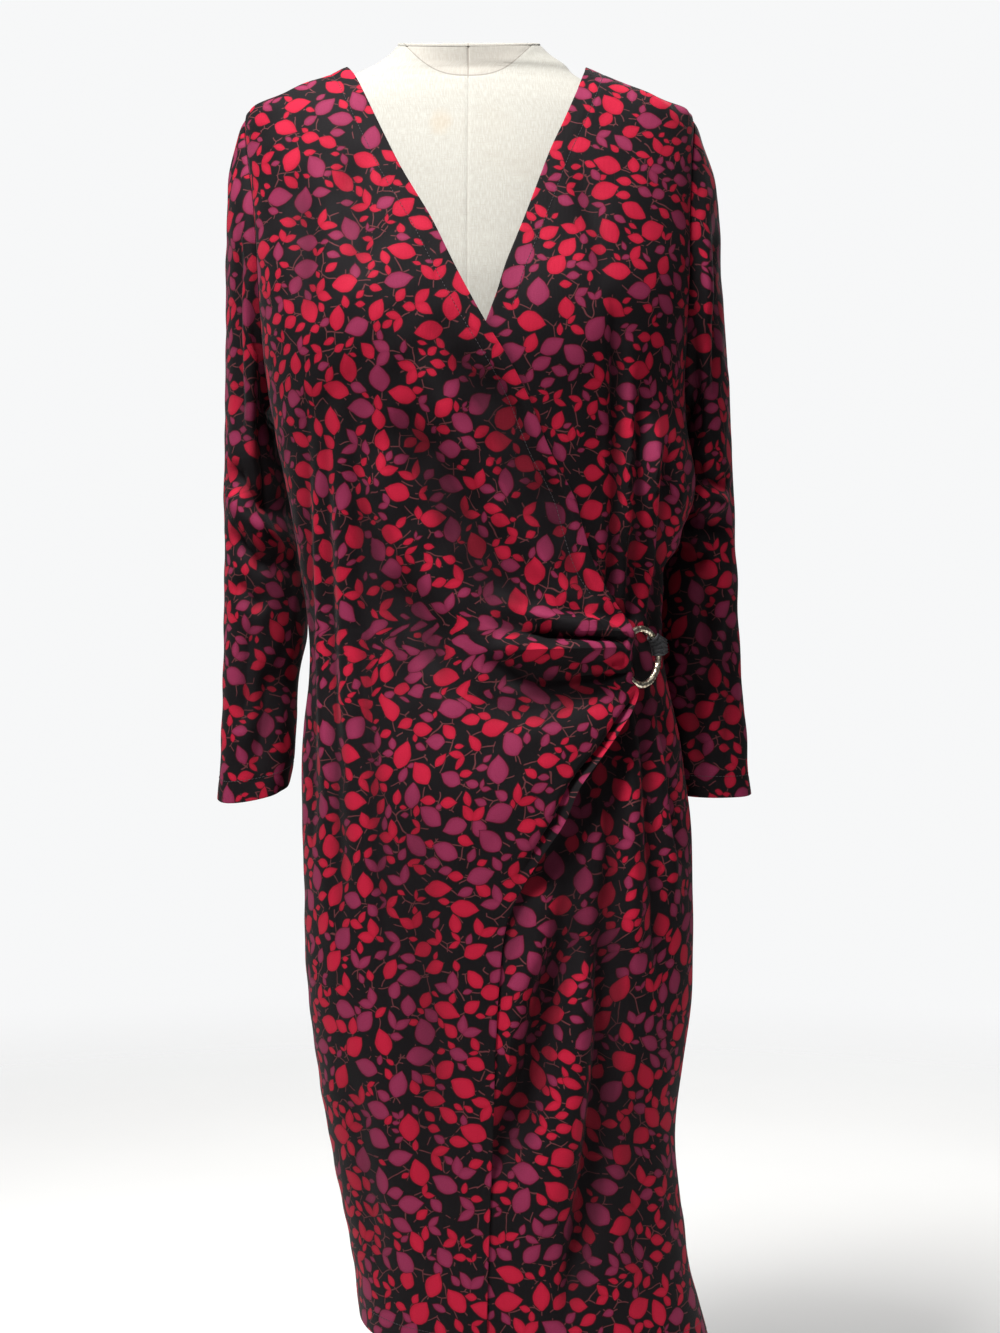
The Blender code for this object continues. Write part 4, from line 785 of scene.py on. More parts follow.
def smoothCurve(rows, column, where):  # through the table's points, with no overshoot
    keys = np.array([row[0] for row in rows], dtype=float)
    values = np.array([row[column] for row in rows], dtype=float)
    if keys[0] > keys[-1]:
        keys, values = keys[::-1], values[::-1]
    steps = np.diff(keys)
    slopes = np.diff(values) / steps
    tangents = np.zeros(len(keys))
    tangents[0], tangents[-1] = slopes[0], slopes[-1]
    for i in range(1, len(keys) - 1):
        before, after = slopes[i - 1], slopes[i]
        if before * after > 0.0:
            w1 = 2.0 * steps[i] + steps[i - 1]
            w2 = steps[i] + 2.0 * steps[i - 1]
            tangents[i] = (w1 + w2) / (w1 / before + w2 / after)
    at = np.clip(np.asarray(where, dtype=float), keys[0], keys[-1])
    i = np.clip(np.searchsorted(keys, at, side="right") - 1, 0, len(keys) - 2)
    t = (at - keys[i]) / steps[i]
    return between(t, steps[i], values[i], values[i + 1], tangents[i], tangents[i + 1])


def smoothStep(low, high, value):
    t = np.clip((value - low) / (high - low), 0.0, 1.0)
    return t * t * (3.0 - 2.0 * t)


def section(height):
    left = smoothCurve(rightSide, 1, height)
    right = smoothCurve(leftSide, 1, height)
    front = smoothCurve(frontDepth, 1, height)
    back = smoothCurve(backDepth, 1, height)
    power = smoothCurve(squareness, 1, height)
    return (left + right) / 2.0, (right - left) / 2.0, front, back, power


def plainPoint(angle, height):
    middle, half, front, back, power = section(height)
    s = np.sin(angle)
    c = np.cos(angle)
    x = middle + half * np.sign(s) * np.abs(s) ** (2.0 / power)
    depth = np.where(c > 0.0, front, back)
    y = -depth * np.sign(c) * np.abs(c) ** (2.0 / power)
    return np.stack([x, y, np.broadcast_to(height, x.shape)], axis=-1)


def unit(vectors):
    return vectors / np.maximum(np.linalg.norm(vectors, axis=-1, keepdims=True), 1e-12)


def outward(angle, height):
    along = plainPoint(angle + 0.004, height) - plainPoint(angle - 0.004, height)
    up = plainPoint(angle, height + 0.002) - plainPoint(angle, height - 0.002)
    return unit(np.cross(along, up))


def angleAtX(x, height):
    middle, half, front, back, power = section(height)
    ratio = np.clip((x - middle) / half, -1.0, 1.0)
    return np.arcsin(np.sign(ratio) * np.abs(ratio) ** (power / 2.0))


def angleAtY(y, height, frontSide):
    middle, half, front, back, power = section(height)
    ratio = np.clip(np.abs(y) / (front if frontSide else back), 0.0, 1.0)
    return np.arccos(ratio ** (power / 2.0))


def armholeAngle(height, tip, frontSide):  # the side edge: armhole, then side seam
    part = np.clip((tip - height) / (tip - dress["underarm"]), 0.0, 1.0)
    reach = dress["armholeFront"] if frontSide else dress["armholeBack"]
    y = np.maximum(reach * 2.0 * np.sqrt(part * (1.0 - part)), 0.00025 - dress["seamMeet"])
    return angleAtY(y, height, frontSide)


def distanceToLine(x, z, line):  # distance, which side of the line, and how far along it
    best = np.full(x.shape, 1e9)
    side = np.zeros(x.shape)
    along = np.zeros(x.shape)
    lengths = [math.dist(line[i], line[i + 1]) for i in range(len(line) - 1)]
    total = sum(lengths)
    walked = 0.0
    for i, length in enumerate(lengths):
        ax, az = line[i]
        dx = (line[i + 1][0] - ax) / length
        dz = (line[i + 1][1] - az) / length
        t = np.clip((x - ax) * dx + (z - az) * dz, 0.0, length)
        gap = np.hypot(x - ax - t * dx, z - az - t * dz)
        nearer = gap < best
        best = np.where(nearer, gap, best)
        side = np.where(nearer, (z - az) * dx - (x - ax) * dz, side)
        along = np.where(nearer, (walked + t) / total, along)
        walked += length
    return best, np.tanh(side / 0.002), along


def foldRelief(x, z, folds, gain=1.0):
    relief = np.zeros(x.shape)
    for height, width, sharp, skew, first, last, line in folds:
        gap, side, along = distanceToLine(x, z, np.array(line) * 0.001)
        reach = 0.001 * width * (1.0 + skew * side)
        soft = np.exp(-(gap / reach) ** 2)
        crisp = np.exp(-1.5 * np.sqrt((gap / reach) ** 2 + 0.01) + 0.15)
        start = first + (1.0 - first) * smoothStep(0.0, 0.30, along)
        end = last + (1.0 - last) * (1.0 - smoothStep(0.70, 1.0, along))
        relief += gain * 0.001 * height * (soft * (1.0 - sharp) + crisp * sharp) * start * end
    return relief


def aboveForm(relief, z):  # no fold sinks into the form, and below it the skirt hangs free
    most = dress["foldRoom"] + dress["skirtRoom"] * smoothStep(0.680, 0.630, z)
    return np.where(relief < 0.0, most * np.tanh(relief / most), relief)


def paintedSleeveShade(z):  # heights at which painted shade from the sleeve lies on the side of the dress
    return smoothStep(*dress["shadeLow"], z) * smoothStep(*dress["shadeHigh"], z)


def softWaves(a, b, seed, size):  # slight unevenness of hanging cloth
    dice = np.random.default_rng(seed)
    waves = np.zeros(a.shape)
    for octave in range(7):
        heading = dice.uniform(-0.9, 0.9)
        length = dice.uniform(0.024, 0.075)
        phase = dice.uniform(0.0, 6.28)
        waves += np.sin((a * math.cos(heading) + b * math.sin(heading)) * 6.283 / length + phase)
    return size * waves / 3.0


bustShape = {"full": 0.007, "x": 0.088, "z": 1.195, "wide": 0.055, "high": 0.060}
blouseShape = {"full": 0.024, "z": 1.045, "above": 0.055, "below": 0.040, "inner": 0.110, "outer": 0.165}


def bust(x, z):
    look = bustShape
    up = ((z - look["z"]) / look["high"]) ** 2
    left, right = (np.exp(-((x - side * look["x"]) / look["wide"]) ** 2 - up) for side in (1.0, -1.0))
    return look["full"] * (left + right)


def blouse(x, z):  # the left side blouses out above the waist
    look = blouseShape
    rise = np.where(z > look["z"], look["above"], look["below"])
    bulge = np.exp(-((z - look["z"]) / rise) ** 2)
    return look["full"] * smoothStep(look["inner"], look["outer"], x) * bulge


def gridNormals(grid, closed=False):
    if closed:
        around = np.roll(grid, -1, axis=1) - np.roll(grid, 1, axis=1)
    else:
        around = np.gradient(grid, axis=1)
    return unit(np.cross(np.gradient(grid, axis=0), around))


def spreadAlong(length, count, start, end):  # even steps, with closer ones at either end
    head = [d / length for d in start]
    tail = [1.0 - d / length for d in reversed(end)]
    low = head[-1] if head else 0.0
    high = tail[0] if tail else 1.0
    inner = np.linspace(low, high, count - len(head) - len(tail) + 2)
    inner = inner[1:-1] if head and tail else (inner[1:] if head else inner[:-1])
    return np.concatenate([head, inner, tail])


def denseRows(stack, key, at):  # smooth rows between the placed ones
    stack = np.array(stack)
    steps = np.diff(key)
    shape = (-1,) + (1,) * (stack.ndim - 1)
    slopes = np.diff(stack, axis=0) / steps.reshape(shape)
    before, after = steps[:-1].reshape(shape), steps[1:].reshape(shape)
    inner = (slopes[:-1] * after + slopes[1:] * before) / (before + after)
    tangents = np.concatenate([slopes[:1], inner, slopes[-1:]])
    i = np.clip(np.searchsorted(key, at, side="right") - 1, 0, len(key) - 2)
    t = ((at - key[i]) / steps[i]).reshape(shape)
    return between(t, steps[i].reshape(shape), stack[i], stack[i + 1], tangents[i], tangents[i + 1])


def rowKey(grid):
    gaps = np.linalg.norm(np.diff(grid, axis=0), axis=-1).mean(axis=1)
    return np.concatenate([[0.0], np.cumsum(gaps)])


def sectionArc(angle, height):  # length along the plain section from x = 0 to an angle
    start = angleAtX(0.0, height)
    angles = np.linspace(start, angle, 60)
    line = plainPoint(angles, np.full(60, height))
    length = np.hypot(np.diff(line[:, 0]), np.diff(line[:, 1])).sum()
    return length if angle > start else -length


def heightLength(height):  # length down the chest, so the print isn't squeezed at the shoulder
    levels = np.linspace(0.20, 1.46, 400)
    depth = smoothCurve(frontDepth, 1, levels)
    walked = np.concatenate([[0.0], np.cumsum(np.hypot(np.diff(levels), np.diff(depth)))])
    return np.interp(height, levels, walked)


def flatPlaces(points, heights, anchor, anchorArc, shift):  # the cloth laid flat, in metres
    down = heightLength(heights)
    step = np.linalg.norm(np.diff(points, axis=1), axis=-1)
    across = np.sqrt(np.maximum(step ** 2 - np.diff(down, axis=1) ** 2, 0.0))
    walked = np.concatenate([np.zeros((len(points), 1)), np.cumsum(across, axis=1)], axis=1)
    walked = walked - walked[:, anchor:anchor + 1] + anchorArc[:, None]
    return np.stack([walked + shift[0], down + shift[1]], axis=-1)


def edgeDistance(points):  # surface distance to each edge of a grid
    across = np.linalg.norm(np.diff(points, axis=1), axis=-1)
    down = np.linalg.norm(np.diff(points, axis=0), axis=-1)
    rows, columns = points.shape[:2]
    left = np.concatenate([np.zeros((rows, 1)), np.cumsum(across, axis=1)], axis=1)
    top = np.concatenate([np.zeros((1, columns)), np.cumsum(down, axis=0)], axis=0)
    right = left[:, -1:] - left
    low = top[-1:] - top
    return left, right, top, low


def clothShell(name, points, normals, flat, extra, rounding, crease, closed=False):
    # two walls and their rim; "extra" thickens turned edges on the inside
    wall = dress["wall"]
    ease = np.clip(rounding / dress["edgeRound"], 0.0, 1.0)
    curve = np.sqrt(np.maximum(1.0 - (1.0 - ease) ** 2, 0.0)) * 0.85 + 0.15
    outer = points + normals * (wall / 2.0 * curve)[..., None]
    inner = points - normals * ((wall / 2.0 + extra) * curve)[..., None]
    item = shellItem(name, outer, inner, flat, closed, (jerseyFace, jerseyWrong))
    # painted shade, 0 to 1, on both walls for the material to darken
    deep = np.clip(crease / dress["paintedShadeFull"], 0.0, 1.0)
    made = item.data.attributes.new("crease", "FLOAT", "POINT")
    made.data.foreach_set("value", np.concatenate([deep.reshape(-1), deep.reshape(-1)]).astype(np.float32))
    return item


def shellItem(name, outer, inner, flat, closed, materials):
    rows, columns = outer.shape[:2]
    wide = columns if closed else columns - 1
    i, j = np.meshgrid(np.arange(rows - 1), np.arange(wide), indexing="ij")
    k = (j + 1) % columns
    a, b, c, d = i * columns + j, i * columns + k, (i + 1) * columns + k, (i + 1) * columns + j
    wideFlat = flat.shape[1]
    ua, ub, uc, ud = (i * wideFlat + j, i * wideFlat + j + 1,
                      (i + 1) * wideFlat + j + 1, (i + 1) * wideFlat + j)
    size = rows * columns

    def quads(*corners):
        return np.stack([corner.reshape(-1) for corner in corners], axis=-1)

    faces = [quads(a, d, c, b), quads(a + size, b + size, c + size, d + size)]
    places = [quads(ua, ud, uc, ub), quads(ua, ub, uc, ud)]
    kinds = [np.zeros(a.size), np.ones(a.size)]
    top, low = (0, slice(None)), (-1, slice(None))
    faces.append(quads(a[top], b[top], b[top] + size, a[top] + size))
    places.append(quads(ua[top], ub[top], ub[top], ua[top]))
    faces.append(quads(c[low], d[low], d[low] + size, c[low] + size))
    places.append(quads(uc[low], ud[low], ud[low], uc[low]))
    kinds += [np.zeros(wide), np.zeros(wide)]
    if not closed:
        left, right = (slice(None), 0), (slice(None), -1)
        faces.append(quads(d[left], a[left], a[left] + size, d[left] + size))
        places.append(quads(ud[left], ua[left], ua[left], ud[left]))
        faces.append(quads(b[right], c[right], c[right] + size, b[right] + size))
        places.append(quads(ub[right], uc[right], uc[right], ub[right]))
        kinds += [np.zeros(rows - 1), np.zeros(rows - 1)]
    faces = np.concatenate(faces)
    places = np.concatenate(places)
    vertices = np.concatenate([outer.reshape(-1, 3), inner.reshape(-1, 3)])
    item = addMesh(name, vertices, faces.tolist(), materials)
    mesh = item.data
    mesh.polygons.foreach_set("material_index", np.concatenate(kinds).astype(np.int32))
    layer = mesh.uv_layers.new(name="cloth")
    layer.data.foreach_set("uv", flat.reshape(-1, 2)[places.reshape(-1)].reshape(-1))
    mesh.update()
    return item


def addMesh(name, vertices, faces, materials, sharp=50.0):
    mesh = bpy.data.meshes.new(name)
    mesh.from_pydata(np.asarray(vertices).tolist(), [], faces)
    mesh.update()
    mesh.shade_smooth()
    mesh.set_sharp_from_angle(angle=math.radians(sharp))
    for material in materials:
        mesh.materials.append(material)
    item = bpy.data.objects.new(name, mesh)
    bpy.context.scene.collection.objects.link(item)
    return item


def sheetArea(item):  # one side of the cloth
    mesh = item.data
    areas = np.zeros(len(mesh.polygons))
    kinds = np.zeros(len(mesh.polygons), dtype=np.int32)
    mesh.polygons.foreach_get("area", areas)
    mesh.polygons.foreach_get("material_index", kinds)
    return areas[kinds == 1].sum()


# the ring's own directions
ringFoot = plainPoint(angleAtX(ringLook["x"], ringLook["z"]), ringLook["z"])
ringFace = np.array([math.sin(ringLook["turn"]), -math.cos(ringLook["turn"]), 0.0])
ringAcross = np.array([math.cos(ringLook["turn"]), math.sin(ringLook["turn"]), 0.0])
ringUp = np.array([0.0, 0.0, 1.0])
ringMiddle = ringFoot + ringFace * ringLook["lift"]


def roundBar(turn, roll, radius):  # roll 0 faces out, 90 degrees faces the ring's middle
    direction = math.cos(turn) * ringAcross + math.sin(turn) * ringUp
    centre = ringMiddle + ringLook["radius"] * direction
    return centre + radius * (math.cos(roll) * ringFace - math.sin(roll) * direction)


closeSteps = (0.0, 0.0008, 0.0018, 0.0032, 0.0055, 0.0085)
fineEdge = (0.0, 0.0004, 0.0010, 0.0022, 0.0045)


def rowLength(side, edge, sideZ, edgeZ):
    ends = plainPoint(np.array([side, edge]), np.array([sideZ, edgeZ]))
    return float(np.linalg.norm(ends[1] - ends[0]))


def panelRow(side, edge, sideZ, edgeZ, u):  # a row of cloth from the side edge to the front edge
    angles = side + (edge - side) * u
    heights = sideZ + (edgeZ - sideZ) * u
    return angles, heights, plainPoint(angles, heights), outward(angles, heights)


def seamRow(normals, whole):  # the normals that a seam shares with the next panel
    shared = np.zeros_like(normals)
    shared[:None if whole else 1] = normals[:None if whole else 1]
    return shared


def easedNormals(points, seams, way=1.0):
    known = np.clip(np.linalg.norm(seams, axis=-1, keepdims=True), 0.0, 1.0)
    return unit(seams + way * gridNormals(points) * (1.0 - known))


def hemSteps(total, count):
    return total * spreadAlong(total, count, closeSteps, fineEdge)


def densePanel(rows, tables):  # every table, filled in with even rows down the panel
    key = rowKey(np.array(tables[0]))
    at = hemSteps(key[-1], rows)
    return np.interp(at, key, np.arange(len(key))), [denseRows(table, key, at) for table in tables]


def seamValley(*gaps):  # the cloth dips along a seam
    return dress["seamValley"] * sum(np.exp(-(gap / dress["seamWide"]) ** 2) for gap in gaps)


def stitchDent(gap, band):  # and a little along a row of stitches
    return dress["stitchDent"] * np.exp(-((gap - dress[band]) / dress["stitchWide"]) ** 2)


def turnedUnder(gap, band):
    return smoothStep(dress[band] + 0.001, dress[band] - 0.001, gap)


def overFrontRows(columns, rollSteps):
    grid, seams, heightRows, arcs = [], [], [], []
    stations = [("neck", row) for row in overEdge] + [("ring", row) for row in ringStations]
    stations += [("lip", row) for row in lipStations]
    for kind, row in stations:
        flat = kind == "neck"
        if kind == "ring":
            degrees, reachPart, sideZ = row
            flat = reachPart == 0.0
            end = roundBar(math.radians(degrees), math.radians(-30.0 if flat else -60.0), loopRadius)
            edgeX, edgeZ = end[0], end[2]
        else:
            edgeZ, edgeX, sideZ, lift = row[:4]
        side = -armholeAngle(sideZ, dress["tipRight"], True)
        edge = angleAtX(edgeX, edgeZ) if grid else side
        length = rowLength(side, edge, sideZ, edgeZ)
        band = dress["edgeBand"] / length
        strip = band * (1.0 - (1.0 - np.arange(1, rollSteps + 1) / rollSteps) ** 1.3)
        body = spreadAlong(length, columns, closeSteps, ())
        u = np.concatenate([body * (1.0 - band), 1.0 - band + strip] if flat else [body, 1.0 + strip])
        angles, heights, points, normals = panelRow(side, edge, sideZ, edgeZ, u)
        arcs.append(sectionArc(angles[columns - 1], heights[columns - 1]))
        heightRows.append(heights)
        seams.append(seamRow(normals, not grid))
        ease = smoothStep(0.0, 0.12, u)
        points = points + normals * (bust(points[:, 0], points[:, 2]) * ease)[:, None]
        if kind == "ring":
            last = len(u) if flat else columns
            rise = smoothStep(0.42, 1.0, u[:last]) ** 1.3
            points[:last] += rise[:, None] * (end - points[last - 1])
            for step in range(0 if flat else rollSteps):
                roll = math.radians(-60.0 + 225.0 * reachPart * (step + 1) / rollSteps)
                points[columns + step] = roundBar(math.radians(degrees), roll, loopRadius)
        else:
            rise = smoothStep(0.40, 1.0, u) ** 1.3
            points = points + normals * (lift * rise)[:, None]
        if kind == "lip" and row[5] > 0.0:
            rollRadius, rolled = row[4:]
            centre = points[columns - 1] - normals[columns - 1] * rollRadius
            forward = unit(points[columns - 1] - points[columns - 4])
            facing = unit(normals[columns - 1] - forward * np.dot(forward, normals[columns - 1]))
            for step in range(rollSteps):
                roll = math.radians(185.0 * rolled) * (step + 1) / rollSteps
                curled = centre + rollRadius * (math.cos(roll) * facing + math.sin(roll) * forward)
                points[columns + step] += (curled - points[columns + step]) * rolled
        grid.append(points)
    return grid, seams, heightRows, arcs


def overFront():
    columns, rollSteps = dress["overColumns"], dress["rollSteps"]
    station, tables = densePanel(dress["overRows"], overFrontRows(columns, rollSteps))
    points, seams, heights, arcs = tables
    normals = easedNormals(points, seams)
    left, right, top, low = edgeDistance(points)
    x, z = points[..., 0], points[..., 2]
    fromLap = smoothCurve(lapLine, 1, z) - x
    free = smoothStep(0.004, 0.022, fromLap) * smoothStep(0.0, 0.020, left) * smoothStep(0.0, 0.012, top)
    pressed = foldRelief(x, z, overFolds, dress["overFolds"]) * free
    relief = aboveForm(pressed, z)
    relief += softWaves(x, z, 11, 0.0006) * smoothStep(0.0, 0.02, left) * smoothStep(0.002, 0.012, right)
    # gathers that run into the ring and fan out across the front
    phase = station * 2.0 * math.pi / 2.6 + 0.9 * np.sin(0.7 * station)
    fan = smoothStep(15.5, 19.0, station) * (1.0 - smoothStep(29.5, 33.5, station))
    atBar = smoothStep(columns - 4.0, columns + 3.0, np.arange(points.shape[1]))
    squeeze = smoothStep(0.55, 0.93, left / left[:, -1:]) * (1.0 - 0.75 * atBar)
    relief += dress["gather"] * (np.sin(phase) * fan)[:, None] * squeeze
    isNeck = 1.0 - smoothStep(18.0, 20.0, station)[:, None]
    relief -= seamValley(left, top) + stitchDent(right, "neckBand") * isNeck + stitchDent(low, "hemBand")
    points = points + normals * relief[..., None]
    flat = flatPlaces(points, heights, columns - 1, arcs, (0.0, 0.0))
    normals = easedNormals(points, seams)
    turned = np.maximum(turnedUnder(low, "hemBand"), turnedUnder(right, "neckBand") * isNeck)
    extra = dress["bandExtra"] * turned * smoothStep(0.0, dress["seamEdge"], left)
    # painted shade by the side seam under the sleeve, and in the hollows of the folds
    shade = dress["overShade"] * np.exp(-(left / 0.026) ** 2) * paintedSleeveShade(z)
    item = clothShell("frontRightOver", points, normals, flat, extra, np.minimum(right, low), shade - pressed)
    return {"item": item, "points": points, "normals": normals, "neck": right, "hem": low,
            "neckPart": np.where(station < 18.5)[0][3:]}


def underFront():
    columns = dress["underColumns"]
    grid, seamRows, heightRows, arcs = [], [], [], []
    for edgeZ, edgeX, sideZ in underEdge:
        side = armholeAngle(sideZ, dress["tipLeft"], True)
        edge = angleAtX(edgeX, edgeZ) if grid else side
        u = spreadAlong(rowLength(side, edge, sideZ, edgeZ), columns, closeSteps, fineEdge)
        angles, heights, points, normals = panelRow(side, edge, sideZ, edgeZ, u)
        arcs.append(sectionArc(angles[-1], heights[-1]))
        heightRows.append(heights)
        seamRows.append(seamRow(normals, not grid))
        x, z = points[:, 0], points[:, 2]
        grid.append(points + normals * (bust(x, z) + blouse(x, z) * smoothStep(0.0, 0.10, u))[:, None])
    points, seams, heights, arcs = densePanel(dress["underRows"], (grid, seamRows, heightRows, arcs))[1]
    normals = easedNormals(points, seams, -1.0)
    left, right, top, low = edgeDistance(points)
    x, z = points[..., 0], points[..., 2]
    pastLap = x - smoothCurve(lapLine, 1, z)
    sunk = (1.0 - smoothStep(0.010, 0.055, pastLap)) * smoothStep(1.245, 1.215, z)
    hollow = dress["lapHollow"] * smoothStep(0.0, 0.016, -pastLap) * smoothStep(1.180, 1.140, z)
    calm = smoothStep(0.0, 0.016, left) * smoothStep(0.0, 0.010, top)
    calm = calm * smoothStep(-0.012, 0.006, pastLap + 0.02 * smoothStep(1.18, 1.24, z))
    pressed = foldRelief(x, z, underFolds, dress["underFolds"]) * calm
    relief = aboveForm(pressed, z)
    # painted shade beside the lap, beside the lip, next to the sleeve and inside the ring
    shade = np.exp(-(pastLap / 0.006) ** 2) * smoothStep(1.270, 1.180, z) * dress["lapShade"]
    lip = smoothStep(0.890, 0.860, z) * smoothStep(0.560, 0.700, z)
    shade += np.exp(-((pastLap - 0.008) / 0.022) ** 2) * lip * dress["lipShade"]
    shade += dress["underShade"] * np.exp(-(left / 0.040) ** 2) * paintedSleeveShade(z)
    inRing = np.exp(-((x - ringLook["x"]) / 0.017) ** 2 - ((z - ringLook["z"]) / 0.026) ** 2)
    shade += dress["ringShade"] * inRing
    relief += softWaves(x, z, 23, 0.0005) * smoothStep(0.0, 0.02, left) * smoothStep(0.002, 0.012, right)
    relief = relief - dress["lapDrop"] * sunk - hollow
    # it stays below the lap's turned edge
    highest = 0.0140 * smoothStep(0.009, 0.028, pastLap) - dress["lapDrop"] - 0.0004
    relief = np.where(z < 1.215, np.minimum(relief, highest), relief)
    isNeck = smoothStep(1.16, 1.19, z)
    relief -= seamValley(left, top) + stitchDent(right, "neckBand") * isNeck + stitchDent(low, "hemBand")
    points = points + normals * relief[..., None]
    # lengths here grow towards the lap, so they are turned round
    flat = flatPlaces(points, heights, columns - 1, arcs, (0.57, 0.23))
    flat[..., 0] = 2.0 * arcs[:, None] - flat[..., 0]
    normals = easedNormals(points, seams, -1.0)
    turned = np.maximum(turnedUnder(low, "hemBand"), turnedUnder(right, "neckBand") * isNeck)
    extra = dress["bandExtra"] * turned * smoothStep(0.0, dress["seamEdge"], left)
    flip = (slice(None), slice(None, None, -1))
    # the fold hollows get painted shade as well
    item = clothShell("frontLeftUnder", points[flip], normals[flip], flat[flip], extra[flip],
                      np.minimum(right, low)[flip], (shade - pressed)[flip])
    return {"item": item, "points": points, "normals": normals, "neck": right, "hem": low,
            "neckPart": np.where(points[:, -1, 2] > 1.195)[0][3:]}


def backPanel():
    columns, rows = dress["backColumns"], dress["backRows"]
    across = spreadAlong(0.46, columns, closeSteps, closeSteps)
    down = hemSteps(1.12, rows) / 1.12
    shoulder = 0.22  # share of the width at each side
    neck = np.clip((across - shoulder) / (1.0 - 2.0 * shoulder), 0.0, 1.0)
    topHeight = dress["neckRight"] + (dress["neckLeft"] - dress["neckRight"]) * neck
    topHeight -= dress["backNeckDip"] * np.sin(np.pi * neck) ** 0.6
    for side, share in (("Right", across / shoulder), ("Left", (1.0 - across) / shoulder)):
        topHeight -= (dress["neck" + side] - dress["tip" + side]) * (1.0 - np.clip(share, 0.0, 1.0))
    lowHeight = dress["hemRight"] + (dress["hemLeft"] - dress["hemRight"]) * across
    u = across[None, :]
    v = down[:, None]
    heights = (1.0 - v) * topHeight + v * lowHeight
    edgeRight = math.pi + armholeAngle(heights[:, 0], dress["tipRight"], False)[:, None]
    edgeLeft = math.pi - armholeAngle(heights[:, -1], dress["tipLeft"], False)[:, None]
    even = smoothStep(0.0, 0.16, v)
    angles = edgeRight + (edgeLeft - edgeRight) * ((1.0 - even) * neck + even * u)
    points = plainPoint(angles, heights)
    normals = outward(angles, heights)
    seams = np.zeros_like(normals)
    for edge in ((0, slice(None)), (slice(None), 0), (slice(None), -1)):
        seams[edge] = normals[edge]
    left, right, top, low = edgeDistance(points)
    x, z = points[..., 0], points[..., 2]
    fall = 0.0022 * np.sin(5.0 * angles + 2.0 * heights) * smoothStep(0.95, 0.55, heights)
    relief = fall * np.sin(np.pi * u) ** 0.5
    calm = smoothStep(0.0, 0.016, left) * smoothStep(0.0, 0.016, right) * smoothStep(0.0, 0.012, top)
    pressed = foldRelief(x, z, backFolds, dress["backFolds"]) * calm
    relief += pressed + softWaves(x, z, 37, 0.0006) * calm
    isNeck = (across > shoulder) & (across < 1.0 - shoulder)
    relief -= seamValley(left, right) + seamValley(top) * (1.0 - isNeck)
    relief -= stitchDent(top, "neckBand") * isNeck + stitchDent(low, "hemBand")
    points = points + normals * relief[..., None]
    flat = flatPlaces(points, heights, columns // 2, np.zeros(rows), (0.0, 0.09))
    flat[..., 0] = 0.35 - flat[..., 0]
    normals = easedNormals(points, seams, -1.0)
    turned = np.maximum(turnedUnder(low, "hemBand"), turnedUnder(top, "neckBand") * isNeck)
    extra = dress["bandExtra"] * turned
    for gap in (left, right):
        extra = extra * smoothStep(0.0, dress["seamEdge"], gap)
    rounding = np.where(isNeck, np.minimum(top, low), low)
    flip = (slice(None), slice(None, None, -1))
    # the hollows of the folds get painted shade
    item = clothShell("backPanel", points[flip], normals[flip], flat[flip], extra[flip],
                      rounding[flip], -pressed[flip])
    return {"item": item, "points": points, "normals": normals, "neck": top, "hem": low,
            "neckPart": np.where(isNeck)[0]}


def sleeveFlat(wrapped, table, outer, shift):  # round the sleeve from its outer line, and down it
    levels = np.linspace(wrapped[..., 2].min(), wrapped[..., 2].max(), 200)
    slices = np.empty((2, len(levels), wrapped.shape[1]))
    for column in range(wrapped.shape[1]):
        line = wrapped[::-1, column]
        rising = np.maximum.accumulate(line[:, 2])
        for axis in (0, 1):
            slices[axis, :, column] = np.interp(levels, rising, line[:, axis])
    step = np.hypot(*np.diff(slices, axis=2))
    walked = np.concatenate([np.zeros((len(levels), 1)), np.cumsum(step, axis=1)], axis=1)
    walked -= walked[:, outer:outer + 1]
    z = wrapped[..., 2]
    u = [np.interp(z[:, column], levels, walked[:, column]) for column in range(z.shape[1])]
    u = np.stack(u, axis=1)
    outerX, outerZ = np.array(table)[::-1].T[:2]
    length = np.concatenate([[0.0], np.cumsum(np.hypot(np.diff(outerX), np.diff(outerZ)))])
    slope = np.interp(z, outerZ, length) + outerZ[0] - z
    v = z + slope * np.cos(np.clip(u / 0.055, -1.5, 1.5)) ** 2
    return np.stack([u + shift[0], v + shift[1]], axis=-1)


def sleeveLoops(table, side, tip, turn):  # from the armhole to the cuff
    height = tip - (tip - dress["underarm"]) * (1.0 - np.cos(turn)) / 2.0
    frontAngle = side * armholeAngle(height, tip, True)
    backAngle = math.pi - side * armholeAngle(height, tip, False)
    armhole = plainPoint(np.where(np.sin(turn) >= 0.0, frontAngle, backAngle), height)
    loops = []
    for index, (outX, outZ, inX, inZ, middleY, halfDepth, tilt) in enumerate(table):
        middle = np.array([(outX + inX) / 2.0, middleY, (outZ + inZ) / 2.0])
        chord = np.array([(outX - inX) / 2.0, 0.0, (outZ - inZ) / 2.0])
        shape = middle + np.cos(turn)[:, None] * chord
        shape = shape + np.sin(turn)[:, None] * np.array([0.0, -halfDepth, -tilt])
        drop = np.clip((index - 4) / 10.0, 0.0, 1.0)
        ripple = 0.0035 * drop * np.cos(3.0 * turn + 0.35 * index)
        shape = shape + unit(shape - middle) * ripple[:, None]
        blend = max(0.0, 1.0 - index / 3.0) ** 1.5
        move = np.zeros_like(armhole)
        move[:, 0] = side * (0.0004 + 0.0016 * np.cos(turn) ** 4 + 0.006 * index)
        move[:, 2] = -0.004 * index
        loops.append(shape * (1.0 - blend) + (armhole + move) * blend)
    return np.array(loops)


